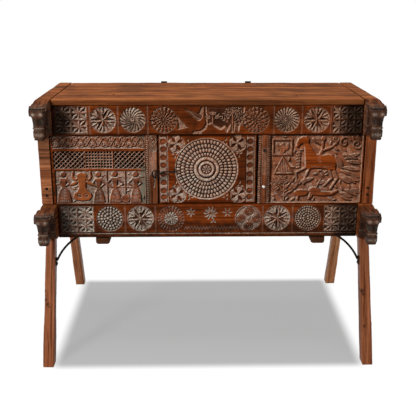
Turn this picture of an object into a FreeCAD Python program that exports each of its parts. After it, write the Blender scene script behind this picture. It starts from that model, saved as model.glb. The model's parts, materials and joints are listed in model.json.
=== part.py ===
# Carved dowry chest on splayed legs, in millimetres.
# X runs along the chest, -Y is its carved front, Z is up. The origin is on the floor under its middle.

import FreeCAD
import Part
import math
import os

V = FreeCAD.Vector

# Chest body
BODY_LENGTH = 1208.0  # over the outer faces of the side beams
BODY_DEPTH = 456.0  # front rail face to rear rail face
LEG_HEIGHT = 441.0  # floor to the underside of the lower beams
LOWER_RAIL_HEIGHT = 124.0
OPENING_HEIGHT = 259.0  # between the lower and the upper rails
UPPER_RAIL_HEIGHT = 105.0
RAIL_THICKNESS = 34.0
BEAM_THICKNESS = 56.0

# Joinery
FIT = 0.25  # clearance round tenons and tongues
TONGUE = 8.0
TONGUE_END_GAP = 1.0
TENON_WALL = 4.0  # wood left between a rail tenon and the leg tenon beside it
RAIL_TENON_THICKNESS = 14.0
RAIL_TENON_SHOULDER = 20.0
POST_TENON_LENGTH = 40.0
POST_TENON_WIDTH = 18.0
POST_TENON_DEPTH = 26.0

# Horse heads at the front ends of the beams
HEAD_REACH = 90.0  # from the rail face to the muzzle
HEAD_WIDTH = 60.0  # across the brow
UPPER_HEAD_FLARE = 1.0  # how far the head's middle stands outside the beam's middle
LOWER_HEAD_FLARE = 12.0
EAR_THICKNESS = 8.0
UPPER_BEAM_ROUND = 12.0  # on the outer top edge

# Posts and their pegs
POST_WIDTH = 42.0
POST_DEPTH = 42.0
POST_SETBACK = 6.0
PEG_RADIUS = 4.5
PEG_HEIGHTS = (35.0, 60.0)  # above the lower beams
PEG_PROUD = 1.5
PEG_END_GAP = 2.0

# Boards
PANEL_THICKNESS = 18.0
PANEL_SETBACK = 12.0
BOARD_THICKNESS = 16.0  # side and back boards
BACK_SETBACK = 12.0
SIDE_SETBACK = 13.0
SIDE_BOARD_COUNT = 2
BACK_BOARD_COUNT = 3
FLOOR_THICKNESS = 18.0
FLOOR_BOARD_COUNT = 4
FLOOR_END_GAP = 1.0
BOARD_GAP = 0.5
LEFT_BEARER_INSET = 214.0  # from the end of the body to the bearer's middle
RIGHT_BEARER_INSET = 194.0
BEARER_WIDTH = 52.0
BEARER_HEIGHT = 32.0
BEARER_SETBACK = 10.0
BEARER_ROUND = 10.0

# Doorway, door and jambs
DOORWAY_WIDTH = 362.0
JAMB_WIDTH = 42.0
JAMB_SETBACK = 8.0
DOOR_THICKNESS = 20.0
DOOR_SETBACK = 12.0
LATCH_GAP = 5.0
PIVOT_GAP = 3.0
DOOR_END_GAP = 3.0
STOP_GAP = 0.3
STOP_THICKNESS = 14.0
STOP_LAP = 15.0
STOP_EDGE = 2.0  # clear of the groove in the jamb
LEDGE_WIDTH = 44.0
LEDGE_THICKNESS = 15.0
LEDGE_STOP_GAP = 11.0
LEDGE_PIVOT_GAP = 27.0
LEDGE_INSET = 55.0  # from the ends of the doorway to the middle of a ledge
PIVOT_RADIUS = 5.0
PIVOT_IN_DOOR = 28.0
PIVOT_IN_RAIL = 16.0
PIVOT_FIT = 0.05
PIVOT_END_GAP = 2.0  # above the upper pivot
JAMB_NAIL_HEIGHTS = (66.0, 200.0)
JAMB_NAIL_LENGTH = 20.0

# Lid and its hinges
LID_THICKNESS = 22.0
LID_OVERHANG = 9.0
LID_SIDE_GAP = 2.0
LID_BACK_INSET = 6.0
LID_EDGE_ROUND = 5.0
LID_BOARD_COUNT = 3
BATTEN_INSET = 274.0  # from the end of the body to the batten's middle
BATTEN_WIDTH = 50.0
BATTEN_THICKNESS = 20.0
BATTEN_END_GAP = 10.0
HINGE_INSET = 432.0  # from the end of the body to the hinge's middle
HINGE_WIDTH = 24.0
HINGE_KNUCKLE_RADIUS = 4.0
HINGE_KNUCKLE_LENGTH = 9.0  # the lid's own knuckle
HINGE_KNUCKLE_GAP = 0.5
HINGE_LEAF_THICKNESS = 4.0
HINGE_LEAF_HEIGHT = 76.0
HINGE_LID_LEAF_HEIGHT = 12.0
HINGE_LID_LEAF_RISE = 1.0  # above the lid's underside
HINGE_PIN_RADIUS = 2.0
HINGE_PIN_FIT = 0.05
HINGE_NAIL_SPREAD = 7.0
HINGE_NAIL_HEIGHTS = (18.0, 42.0)

# Legs and iron stays
LEG_WIDTH_TOP = 36.0
LEG_WIDTH_FOOT = 42.0
LEG_DEPTH = 43.0
LEG_INNER_INSET = 42.0  # from the beam's outer face to the leg's inner face
LEG_TOP_INSET = 25.0  # from the rail face to the leg's middle
LEG_RUN = 170.0  # how far each foot stands out from the leg's top
LEG_TENON_RADIUS = 12.0
LEG_TENON_LENGTH = 60.0
STAY_RADIUS = 4.0
STAY_DROP = 86.0  # from the beam's underside to the rod's low end
STAY_FROM_BEARER = 34.0
STAY_FROM_RAIL = 12.0
STAY_BEND = math.radians(50.0)
STAY_TAB_LENGTH = 20.0
STAY_TAB_WIDTH = 16.0
STAY_TAB_THICKNESS = 3.0
STAY_SCREW_FROM_END = 8.0

# Fasteners
NAIL_RADIUS = 1.8
LID_NAIL_RADIUS = 2.6
NAIL_HEAD_RADIUS = 4.5
NAIL_HEAD_HEIGHT = 2.0
JAMB_NAIL_HEAD_RADIUS = 6.0
JAMB_NAIL_HEAD_HEIGHT = 3.0
NAIL_FIT = 0.05
SCREW_RADIUS = 2.2
SCREW_HEAD_RADIUS = 5.0
SCREW_HEAD_HEIGHT = 2.5
SCREW_LENGTH = 15.0

# Door chain
STAPLE_WIRE_RADIUS = 2.0
DOOR_STAPLE_HEIGHT = 126.0  # above the lower rail
DOOR_STAPLE_REACH = 14.0
DOOR_STAPLE_BEND = 6.0  # radius of its round end
JAMB_STAPLE_REACH = 26.0
JAMB_STAPLE_INSET = 5.6  # from the jamb's door edge
JAMB_STAPLE_OFFSET = 2.0  # from the ring's middle towards the door
HASP_PLAY = 2.0  # between the jamb staple and the ring round it
STAPLE_DEPTH = 14.0  # driven into the wood
STAPLE_FIT = 0.05
LINK_WIRE_RADIUS = 1.75
LINK_BEND = 5.25
LINK_STRAIGHT = 13.5
LINK_COUNT = 3
RING_BEND = 13.0
RING_WIRE_RADIUS = 2.0
CHAIN_PLAY = 0.3
CHAIN_DROP = math.radians(8.0)  # slope of the hooked chain

# Carving, cut into the front faces. X is measured from the chest's middle, heights from the foot of each board.
CUT_OVER = 1.0  # how far a cutter starts in front of the face
CHIP_DEPTH = 4.0
CHIP_START = 2.0  # from the middle of a rosette to its chips
ROSETTE_RADIUS = 45.0
SIX_CHIP_HALF = 7.0  # half the width of one chip
EIGHT_CHIP_HALF = 5.5
EIGHT_CHIP_START = 12.0
SQUARE_CHIP_HALF = 6.0
SQUARE_CHIP_REACH = 1.25  # as a share of half the square
STAR_RADIUS = 20.0
STAR_CHIP_HALF = 3.4
UPPER_ROSETTE_HEIGHT = 53.0
UPPER_ROSETTES = ((-369.0, 6), (-265.0, 8), (-156.0, 8), (168.0, 8), (277.0, 8), (383.0, 6))  # place, chips
UPPER_BLOCKS = ((-534.0, -425.0), (439.0, 544.0))
UPPER_BLOCK_HEIGHTS = (5.0, 101.0)
BIRD_DEPTH = 5.0
BIRD_GROUNDS = (
    ((-87, 93), (-42, 55), (-26, 54), (-20, 64), (-18, 98)),
    ((-116, 74), (-72, 27), (-108, 19)),
    ((-5, 97), (1, 44), (-24, 14), (10, 22), (13, 48), (4, 97)),
)
TREE_DEPTH = 2.5
TREE_FIELD = (46.0, 126.0, 24.0, 99.0)
TREE_TRUNK = (84.0, 90.0)
LOWER_ROSETTE_HEIGHT = 72.0
LOWER_ROSETTES = ((-247.0, 6), (254.0, 6))
LOWER_BLOCKS = ((-536.0, -417.0), (426.0, 548.0))
LOWER_BLOCK_HEIGHTS = (20.0, 119.0)
SEED_DISC_DEPTH = 2.4
SEED_DISCS = ((-359.0, 48.0), (-136.0, 49.0), (366.0, 48.0))  # place, radius
STARS = ((-63.0, 95.0), (9.0, 92.0), (71.0, 95.0))
FOUR_DISCS = (148.0, 49.0)
FOUR_DISC_DEPTH = 3.2
FOUR_DISC_SHARE = 0.58  # of the radius, to the middle of each small disc
FOUR_DISC_SMALL = 0.34
MOULDING_HEIGHT = 16.0
MOULDING_SETBACK = 1.6
GROUND_DEPTH = 5.0  # sunk ground of the panels
VINE_FIELD = (-554.0, -226.0, 209.0, 253.0)
VINE_DEPTH = 4.4
VINE_PERIOD = 43.0
VINE_RISE = 14.0
VINE_HALF = 3.5
LATTICE_FIELD = (-552.0, -228.0, 134.0, 197.0)
LATTICE_DEPTH = 3.0
FIGURE_FIELD = (-550.0, -228.0, 4.0, 125.0)
FIGURE_DIVIDER = (-369.0, -363.0)
WOMEN = ((-522.0, 25.0), (-396.0, 20.0), (-337.0, 21.0), (-262.0, 20.0))  # place, half the hem
WOMAN_WAIST = 62.0
WOMAN_SHOULDER = 98.0
WOMAN_HEAD = 112.0
WOMAN_HEAD_RADIUS = 10.0
BULL_MIDDLE = -455.0
BULL_HALF_FACE = ((0, 120), (17, 109), (10, 93), (10, 59), (31, 41), (34, 27), (24, 15), (0, 12))
BULL_HORN = ((13, 99), (24, 91), (33, 103), (31, 120))
POLE = ((-299.0, 125.0), (-300.0, 30.0))
POT = (-299.5, 22.5, 17.0)
RIDE_MARGIN = (3.0, 8.0, 5.0, 3.0)  # plain edge of the right panel: jamb, post, sill and head sides
HORSE = (
    (346, 213), (352, 135), (386, 133), (430, 129), (461, 126), (463, 155), (446, 183), (432, 186), (410, 181),
    (390, 185), (362, 223), (352, 253), (336, 250), (316, 225), (315, 212), (323, 209), (340, 223),
)
HORSE_LEGS = (
    ((354, 135), (318, 117), (324, 81)), ((366, 131), (354, 103), (348, 75)),
    ((438, 129), (450, 95), (422, 67)), ((456, 129), (470, 95), (448, 57)),
)
HORSE_TAIL = ((456, 184), (478, 172), (490, 129), (468, 148))
RIDER = (((408, 184), (412, 228)), ((411, 219), (386, 229)), ((416, 199), (450, 214)))
RIDER_HEAD = (413.0, 241.0, 8.5)
MANE = (318.0, 334.0, 132.0, 194.0)
TENT = ((268, 178), (236, 111), (312, 111))
SQUARE_FRAME = (230.0, 304.0, 179.0, 241.0)
SQUARE_FRAME_WIDTH = 7.0
BRANCHES = (
    ((277, 13), (277, 75)), ((277, 25), (238, 69)), ((277, 33), (318, 69)), ((277, 47), (252, 89)),
    ((277, 53), (304, 93)),
)
SPRAYS = (
    ((486, 183), (540, 167)), ((500, 157), (550, 151)), ((484, 130), (556, 122)), ((494, 103), (552, 85)),
    ((480, 41), (530, 23)), ((506, 53), (556, 35)), ((330, 77), (384, 97)), ((466, 230), (536, 214)),
)
BEASTS = (((324, 41), (362, 37)), ((392, 39), (466, 37)))
LIMB_HALF = 4.4
BRANCH_HALF = 3.0
SPRAY_HALF = 6.0
BEAST_HALF = 8.0
BOSS_SHIFT = (-5.0, 1.5)  # from the middle of the doorway
BOSS_MARGIN = 14.5  # plain wood above and below the boss
BOSS_BED = 3.0
BOSS_DOME = 5.5
BOSS_RINGS = (  # inner edge, crest and outer edge as shares of the radius, and the crest's rise
    (0.0, 0.07, 0.14, 1.2), (0.17, 0.215, 0.26, 3.6), (0.295, 0.355, 0.415, 4.2), (0.43, 0.475, 0.52, 2.6),
    (0.535, 0.595, 0.655, 3.0), (0.675, 0.745, 0.815, 3.0), (0.83, 0.905, 0.975, 3.0),
    (0.98, 0.99, 1.0, 2.6),
)
BOSS_EDGE_GAP = 0.6
BOSS_ROOT = 1.0
DOOR_FLOWERS = ((-114.0, 220.0), (105.0, 222.0), (-111.0, 32.0), (110.0, 32.0))
DOOR_FLOWER_RADIUS = 29.0
DOOR_STRIPS = ((-173.0, -146.0), (138.0, 166.0))
DOOR_STRIP_MARGIN = 6.0
DOOR_STRIP_DEPTH = 3.4
DOOR_OVAL_RADIUS = 10.0
DOOR_OVAL_PITCH = 31.0

# Levels and planes
FRONT = -BODY_DEPTH / 2
REAR = BODY_DEPTH / 2
Z_LOW = LEG_HEIGHT
Z_SILL = Z_LOW + LOWER_RAIL_HEIGHT
Z_HEAD = Z_SILL + OPENING_HEIGHT
Z_RIM = Z_HEAD + UPPER_RAIL_HEIGHT
Z_TOP = Z_RIM + LID_THICKNESS
BEAM_OUT = BODY_LENGTH / 2
BEAM_IN = BEAM_OUT - BEAM_THICKNESS
POST_IN = BEAM_OUT - POST_WIDTH
POST_FRONT = FRONT + POST_SETBACK
POST_BACK = POST_FRONT + POST_DEPTH
SIDE_OUT = BEAM_OUT - SIDE_SETBACK
SIDE_IN = SIDE_OUT - BOARD_THICKNESS
PANEL_FRONT = FRONT + PANEL_SETBACK
PANEL_BACK = PANEL_FRONT + PANEL_THICKNESS
BACK_OUT = REAR - BACK_SETBACK
BACK_IN = BACK_OUT - BOARD_THICKNESS
JAMB_IN = DOORWAY_WIDTH / 2
JAMB_OUT = JAMB_IN + JAMB_WIDTH
JAMB_FRONT = FRONT + JAMB_SETBACK
DOOR_FRONT = FRONT + DOOR_SETBACK
DOOR_BACK = DOOR_FRONT + DOOR_THICKNESS
JAMB_BACK = DOOR_BACK + STOP_GAP
PIVOT_X = JAMB_IN - PIVOT_GAP - DOOR_THICKNESS / 2
PIVOT_Y = DOOR_FRONT + DOOR_THICKNESS / 2
LID_FRONT = FRONT - LID_OVERHANG
LID_BACK = REAR - LID_BACK_INSET
HINGE_Y = REAR + HINGE_LEAF_THICKNESS / 2
LEG_IN = BEAM_OUT - LEG_INNER_INSET
LEG_TOP_Y = FRONT + LEG_TOP_INSET
FOOT_Y = LEG_TOP_Y - LEG_RUN
LEG_SLOPE = math.atan2(LEG_RUN, LEG_HEIGHT)
GROOVE_DEPTH = TONGUE + TONGUE_END_GAP
RAIL_TENON_END = LEG_IN + LEG_WIDTH_TOP / 2 - LEG_TENON_RADIUS - TENON_WALL
LEFT_BEARER_MIDDLE = LEFT_BEARER_INSET - BEAM_OUT
RIGHT_BEARER_MIDDLE = BEAM_OUT - RIGHT_BEARER_INSET
BATTEN_MIDDLE = BEAM_OUT - BATTEN_INSET
HINGE_MIDDLE = BEAM_OUT - HINGE_INSET
BOSS_RADIUS = OPENING_HEIGHT / 2 - DOOR_END_GAP - BOSS_MARGIN
BOSS_MIDDLE = (BOSS_SHIFT[0], OPENING_HEIGHT / 2 - DOOR_END_GAP + BOSS_SHIFT[1])  # above the door's lower edge
JAMB_STAPLE_BEND = RING_BEND - RING_WIRE_RADIUS - STAPLE_WIRE_RADIUS - HASP_PLAY


def block(x0, x1, y0, y1, z0, z1):
    return Part.makeBox(x1 - x0, y1 - y0, z1 - z0, V(x0, y0, z0))


def joined(first, *others):
    return first.fuse(list(others)).removeSplitter()


def without(shape, cutters):
    for cutter in cutters:
        shape = shape.cut(cutter)
    return shape


def flip_x(shape):
    return shape.mirror(V(0, 0, 0), V(1, 0, 0))


def flip_y(shape):
    return shape.mirror(V(0, 0, 0), V(0, 1, 0))


def at_corners(shape):
    # The same piece at the front right, front left, rear right and rear left.
    return (shape, flip_x(shape), flip_y(shape), flip_y(flip_x(shape)))


def headed_pin(point, direction, shank, head, grow=0.0):
    # A nail or screw driven along direction, its head standing on the surface at point.
    shank_radius, shank_length = shank
    head_radius, head_height = head
    pin = Part.makeCylinder(shank_radius + grow, shank_length + grow, point, direction)
    if grow:
        return pin
    cap = Part.makeCone(head_radius, head_radius * 0.6, head_height, point, direction * -1)
    return joined(pin, cap)


def boards_across(count, start, end, make):
    # Splits start..end into count boards with a narrow gap between neighbours.
    width = (end - start - BOARD_GAP * (count - 1)) / count
    boards = []
    for index in range(count):
        low = start + index * (width + BOARD_GAP)
        boards.append(make(low, low + width))
    return boards


# Tenons, each also used a little larger as its own mortise

def rail_tenon(y_middle, z0, z1, grow=0.0):
    half = RAIL_TENON_THICKNESS / 2 + grow
    return block(
        BEAM_IN, RAIL_TENON_END + grow,
        y_middle - half, y_middle + half,
        z0 + RAIL_TENON_SHOULDER - grow, z1 - RAIL_TENON_SHOULDER + grow,
    )


def post_tenon(z_shoulder, upward, grow=0.0):
    half_width = POST_TENON_WIDTH / 2 + grow
    half_depth = POST_TENON_DEPTH / 2 + grow
    x_middle = (POST_IN + BEAM_OUT) / 2
    y_middle = (POST_FRONT + POST_BACK) / 2
    reach = POST_TENON_LENGTH + grow
    z0, z1 = (z_shoulder, z_shoulder + reach) if upward else (z_shoulder - reach, z_shoulder)
    return block(
        x_middle - half_width, x_middle + half_width, y_middle - half_depth, y_middle + half_depth, z0, z1
    )


def leg_axis():
    return V(0, math.sin(LEG_SLOPE), math.cos(LEG_SLOPE))


def leg_tenon(grow=0.0):
    overlap = LEG_DEPTH / 2
    top = V(LEG_IN + LEG_WIDTH_TOP / 2, LEG_TOP_Y, Z_LOW)
    start = top - leg_axis() * overlap
    return Part.makeCylinder(LEG_TENON_RADIUS + grow, overlap + LEG_TENON_LENGTH + grow, start, leg_axis())


# Horse heads and side beams

def beam_bar(z0, height, edge_round):
    # Side outline of the beam with its arched neck and breast, as shares of the head's reach and the height.
    def point(reach, share):
        return V(BEAM_IN, FRONT - reach * HEAD_REACH, z0 + share * height)

    poll = point(0.70, 0.84)
    run = FRONT - poll.y
    drop = z0 + height - poll.z
    radius = (run * run + drop * drop) / (2 * drop)
    half_turn = math.asin(run / radius) / 2
    crest_middle = V(
        BEAM_IN, FRONT - radius * math.sin(half_turn), z0 + height - radius * (1 - math.cos(half_turn))
    )
    outline = Part.Wire(
        [
            Part.makeLine(V(BEAM_IN, REAR, z0), point(0.16, 0.0)),
            Part.Arc(point(0.16, 0.0), point(0.38, 0.12), point(0.50, 0.38)).toShape(),
            Part.makeLine(point(0.50, 0.38), poll),
            Part.Arc(poll, crest_middle, point(0.0, 1.0)).toShape(),
            Part.makeLine(point(0.0, 1.0), V(BEAM_IN, REAR, z0 + height)),
            Part.makeLine(V(BEAM_IN, REAR, z0 + height), V(BEAM_IN, REAR, z0)),
        ]
    )
    bar = Part.Face(outline).extrude(V(BEAM_THICKNESS, 0, 0))
    if not edge_round:
        return bar
    top_edges = [
        edge for edge in bar.Edges
        if edge.BoundBox.XMin > BEAM_OUT - BEAM_THICKNESS / 2 and edge.BoundBox.ZMax > z0 + height * 0.98
        and edge.BoundBox.YLength > HEAD_REACH / 2
    ]
    return bar.makeFillet(edge_round, top_edges)


def head_section(x_middle, z, half_width, back, front):
    # One level of the head: a rectangle with its front corners cut off.
    corner = half_width * 0.38
    y_back = FRONT - back * HEAD_REACH
    y_front = FRONT - front * HEAD_REACH
    points = [
        V(x_middle - half_width, y_back, z),
        V(x_middle - half_width, y_front + corner, z),
        V(x_middle - half_width + corner, y_front, z),
        V(x_middle + half_width - corner, y_front, z),
        V(x_middle + half_width, y_front + corner, z),
        V(x_middle + half_width, y_back, z),
    ]
    return Part.makePolygon(points + points[:1])


def head(z0, height, flare):
    # Levels from the chin up: share of height, share of half the width, back and front as shares of the reach.
    levels = (
        (-0.03, 0.58, 0.66, 0.93),
        (0.05, 0.66, 0.62, 0.99),
        (0.23, 0.66, 0.58, 1.00),
        (0.32, 0.60, 0.54, 0.97),
        (0.53, 0.74, 0.46, 0.96),
        (0.75, 1.00, 0.36, 0.93),
        (0.84, 1.00, 0.30, 0.87),
        (0.93, 0.84, 0.22, 0.66),
    )
    x_middle = (BEAM_IN + BEAM_OUT) / 2 + flare
    wires = [
        head_section(x_middle, z0 + share * height, width * HEAD_WIDTH / 2, back, front)
        for share, width, back, front in levels
    ]
    return Part.makeLoft(wires, True, True)


def ear(z0, height, flare):
    # A flat ear lying back along the outer side of the head.
    x_outer = (BEAM_IN + BEAM_OUT) / 2 + flare + HEAD_WIDTH / 2
    points = [
        V(x_outer - EAR_THICKNESS, FRONT - 0.80 * HEAD_REACH, z0 + 0.60 * height),
        V(x_outer - EAR_THICKNESS, FRONT - 0.84 * HEAD_REACH, z0 + 0.80 * height),
        V(x_outer - EAR_THICKNESS, FRONT - 0.66 * HEAD_REACH, z0 + 0.90 * height),
        V(x_outer - EAR_THICKNESS, FRONT - 0.58 * HEAD_REACH, z0 + 0.72 * height),
    ]
    face = Part.Face(Part.makePolygon(points + points[:1]))
    return face.extrude(V(EAR_THICKNESS * 1.3, 0, 0))


def side_beam(z0, z1, flare, rail_top, edge_round):
    # The right-hand beam between z0 and z1, with mortises for its two rails.
    height = z1 - z0
    beam = joined(
        beam_bar(z0, height, edge_round),
        head(z0, height, flare),
        ear(z0, height, flare),
    )
    y_middle = FRONT + RAIL_THICKNESS / 2
    mortise = rail_tenon(y_middle, z0, rail_top, FIT)
    return without(beam, (mortise, flip_y(mortise)))


def upper_beam():
    mortise = post_tenon(Z_HEAD, True, FIT)
    beam = side_beam(Z_HEAD, Z_TOP, UPPER_HEAD_FLARE, Z_RIM, UPPER_BEAM_ROUND)
    return without(beam, (mortise, flip_y(mortise)))


def lower_beam():
    mortise = post_tenon(Z_SILL, False, FIT)
    socket = leg_tenon(FIT)
    beam = side_beam(Z_LOW, Z_SILL, LOWER_HEAD_FLARE, Z_SILL, 0.0)
    return without(beam, (mortise, flip_y(mortise), socket, flip_y(socket)))


# Posts and pegs

def post_peg(height, grow=0.0):
    x_middle = (SIDE_IN + SIDE_OUT) / 2
    front = V(x_middle, POST_FRONT - PEG_PROUD, Z_SILL + height)
    length = PEG_PROUD + POST_DEPTH - PEG_END_GAP
    return Part.makeCylinder(PEG_RADIUS + grow, length + grow, front, V(0, 1, 0))


def front_post(groove_front, groove_back):
    # The right-hand front post, with a groove for a panel and one for the side boards.
    post = joined(
        block(POST_IN, BEAM_OUT, POST_FRONT, POST_BACK, Z_SILL, Z_HEAD),
        post_tenon(Z_HEAD, True),
        post_tenon(Z_SILL, False),
    )
    panel_groove = block(
        POST_IN, POST_IN + GROOVE_DEPTH, groove_front - FIT, groove_back + FIT, Z_SILL, Z_HEAD
    )
    side_groove = block(
        SIDE_IN - FIT, SIDE_OUT + FIT, POST_BACK - GROOVE_DEPTH, POST_BACK, Z_SILL, Z_HEAD
    )
    holes = [post_peg(height, NAIL_FIT) for height in PEG_HEIGHTS]
    return without(post, [panel_groove, side_groove] + holes)


# Carving

def cut_reach(y_face, depth):
    return (y_face - CUT_OVER, y_face + depth)


def keep_reach(y_face, depth):
    # For what is left standing in a sunk ground: a little longer than the cutter at both ends.
    return (y_face - 2 * CUT_OVER, y_face + depth + CUT_OVER)


def prism(points, reach, z0):
    # Outline points are x and the height above z0.
    corners = [V(x, reach[0], z0 + height) for x, height in points]
    return Part.Face(Part.makePolygon(corners + corners[:1])).extrude(V(0, reach[1] - reach[0], 0))


def field(place, reach, z0):
    x0, x1, low, high = place
    return block(x0, x1, reach[0], reach[1], z0 + low, z0 + high)


def disc(x, height, radius, reach, z0):
    return Part.makeCylinder(radius, reach[1] - reach[0], V(x, reach[0], z0 + height), V(0, 1, 0))


def limb(start, end, half):
    # The four corners of a straight limb between two points.
    length = math.hypot(end[0] - start[0], end[1] - start[1])
    side_x = (start[1] - end[1]) / length * half
    side_z = (end[0] - start[0]) / length * half
    return [
        (start[0] + side_x, start[1] + side_z), (end[0] + side_x, end[1] + side_z),
        (end[0] - side_x, end[1] - side_z), (start[0] - side_x, start[1] - side_z),
    ]


def limbs(path, half, reach, z0):
    return [prism(limb(start, end, half), reach, z0) for start, end in zip(path, path[1:])]


def leaf_outline(start, end, half):
    middle = ((start[0] + end[0]) / 2, (start[1] + end[1]) / 2)
    side = limb(middle, end, half)
    return [start, side[0], end, side[3]]


def chip(start, end, half, y_face, z0):
    # A four-sided pyramid that takes out one pointed petal.
    outline = leaf_outline(start, end, half)
    middle_x = (start[0] + end[0]) / 2
    middle_z = (start[1] + end[1]) / 2
    spread = 1 + CUT_OVER / CHIP_DEPTH
    base = [
        V(middle_x + (x - middle_x) * spread, y_face - CUT_OVER, z0 + middle_z + (height - middle_z) * spread)
        for x, height in outline
    ]
    point = V(middle_x, y_face + CHIP_DEPTH, z0 + middle_z)
    faces = [Part.Face(Part.makePolygon([a, b, point, a])) for a, b in zip(base, base[1:] + base[:1])]
    faces.append(Part.Face(Part.makePolygon(base + base[:1])))
    return Part.Solid(Part.Shell(faces))


def rosette(middle, inner, radius, count, half, turn, y_face, z0):
    chips = []
    for index in range(count):
        angle = turn + math.tau * index / count
        start, end = [
            (middle[0] + reach * math.cos(angle), middle[1] + reach * math.sin(angle))
            for reach in (inner, radius)
        ]
        chips.append(chip(start, end, half, y_face, z0))
    return chips


def rosette_row(places, height, z0):
    chips = []
    for x, count in places:
        six = count == 6
        inner = CHIP_START if six else EIGHT_CHIP_START
        half = SIX_CHIP_HALF if six else EIGHT_CHIP_HALF
        chips += rosette((x, height), inner, ROSETTE_RADIUS, count, half, math.tau / 12, FRONT, z0)
    return chips


def chip_blocks(blocks, heights, z0):
    # Two by two squares at each end of a rail, four slanting chips in each.
    chips = []
    tall = (heights[1] - heights[0]) / 2
    for x0, x1 in blocks:
        wide = (x1 - x0) / 2
        reach = min(wide, tall) / 2 * SQUARE_CHIP_REACH
        for column in (0.5, 1.5):
            for row in (0.5, 1.5):
                middle = (x0 + column * wide, heights[0] + row * tall)
                chips += rosette(middle, CHIP_START, reach, 4, SQUARE_CHIP_HALF, math.tau / 8, FRONT, z0)
    return chips


def upper_rail_carving():
    cutters = rosette_row(UPPER_ROSETTES, UPPER_ROSETTE_HEIGHT, Z_HEAD)
    cutters += chip_blocks(UPPER_BLOCKS, UPPER_BLOCK_HEIGHTS, Z_HEAD)
    cutters += [prism(ground, cut_reach(FRONT, BIRD_DEPTH), Z_HEAD) for ground in BIRD_GROUNDS]
    low, high = TREE_FIELD[2:]
    trunk = field(TREE_TRUNK + (low - CUT_OVER, high + CUT_OVER), keep_reach(FRONT, TREE_DEPTH), Z_HEAD)
    cutters.append(field(TREE_FIELD, cut_reach(FRONT, TREE_DEPTH), Z_HEAD).cut(trunk))
    return cutters


def four_discs():
    # A round sinking that leaves four small discs standing.
    x, radius = FOUR_DISCS
    sinking = disc(x, LOWER_ROSETTE_HEIGHT, radius, cut_reach(FRONT, FOUR_DISC_DEPTH), Z_LOW)
    kept = []
    for index in range(4):
        angle = math.tau * index / 4
        small_x = x + radius * FOUR_DISC_SHARE * math.cos(angle)
        height = LOWER_ROSETTE_HEIGHT + radius * FOUR_DISC_SHARE * math.sin(angle)
        reach = keep_reach(FRONT, FOUR_DISC_DEPTH)
        kept.append(disc(small_x, height, radius * FOUR_DISC_SMALL, reach, Z_LOW))
    return without(sinking, kept)


def lower_rail_carving():
    cutters = rosette_row(LOWER_ROSETTES, LOWER_ROSETTE_HEIGHT, Z_LOW)
    cutters += chip_blocks(LOWER_BLOCKS, LOWER_BLOCK_HEIGHTS, Z_LOW)
    for x, radius in SEED_DISCS:
        cutters.append(disc(x, LOWER_ROSETTE_HEIGHT, radius, cut_reach(FRONT, SEED_DISC_DEPTH), Z_LOW))
    for star in STARS:
        cutters += rosette(star, CHIP_START, STAR_RADIUS, 6, STAR_CHIP_HALF, 0.0, FRONT, Z_LOW)
    cutters.append(four_discs())
    moulding = (-BEAM_IN - CUT_OVER, BEAM_IN + CUT_OVER, -CUT_OVER, MOULDING_HEIGHT)
    cutters.append(field(moulding, cut_reach(FRONT, MOULDING_SETBACK), Z_LOW))
    return cutters


def vine_outline():
    # A narrow zigzag ribbon along the middle of its strip.
    x0, x1, low, high = VINE_FIELD
    middle = (low + high) / 2
    step = VINE_PERIOD / 2
    bends = [
        (x0 + step / 2 + index * step, middle + (VINE_RISE if index % 2 else -VINE_RISE))
        for index in range(int((x1 - x0) / step))
    ]
    upper = [(x, height + VINE_HALF) for x, height in bends]
    lower = [(x, height - VINE_HALF) for x, height in reversed(bends)]
    return upper + lower


def woman(x, hem, reach):
    foot = FIGURE_FIELD[2] - CUT_OVER
    waist_half = hem / 3
    skirt = [(x - hem, foot), (x + hem, foot), (x + waist_half, WOMAN_WAIST), (x - waist_half, WOMAN_WAIST)]
    shoulder_half = 2 * waist_half
    bodice = [
        (x - waist_half, WOMAN_WAIST - CUT_OVER), (x + waist_half, WOMAN_WAIST - CUT_OVER),
        (x + shoulder_half, WOMAN_SHOULDER), (x - shoulder_half, WOMAN_SHOULDER),
    ]
    head_disc = disc(x, WOMAN_HEAD, WOMAN_HEAD_RADIUS, reach, Z_SILL)
    return [prism(skirt, reach, Z_SILL), prism(bodice, reach, Z_SILL), head_disc]


def bull_head(reach):
    right = [(BULL_MIDDLE + x, height) for x, height in BULL_HALF_FACE]
    left = [(BULL_MIDDLE - x, height) for x, height in BULL_HALF_FACE[-2:0:-1]]
    shapes = [prism(right + left, reach, Z_SILL)]
    for side in (-1, 1):
        horn = [(BULL_MIDDLE + side * x, height) for x, height in BULL_HORN]
        shapes += limbs(horn, BRANCH_HALF, reach, Z_SILL)
    return shapes


def left_panel_carving():
    vine = prism(vine_outline(), keep_reach(PANEL_FRONT, VINE_DEPTH), Z_SILL)
    strip = field(VINE_FIELD, cut_reach(PANEL_FRONT, VINE_DEPTH), Z_SILL).cut(vine)
    lattice = field(LATTICE_FIELD, cut_reach(PANEL_FRONT, LATTICE_DEPTH), Z_SILL)
    reach = keep_reach(PANEL_FRONT, GROUND_DEPTH)
    low, high = FIGURE_FIELD[2:]
    kept = [field(FIGURE_DIVIDER + (low - CUT_OVER, high + CUT_OVER), reach, Z_SILL)]
    for x, hem in WOMEN:
        kept += woman(x, hem, reach)
    kept += bull_head(reach)
    kept += limbs(POLE, BRANCH_HALF, reach, Z_SILL)
    kept.append(disc(*POT, reach, Z_SILL))
    ground = without(field(FIGURE_FIELD, cut_reach(PANEL_FRONT, GROUND_DEPTH), Z_SILL), kept)
    return [strip, lattice, ground]


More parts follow.
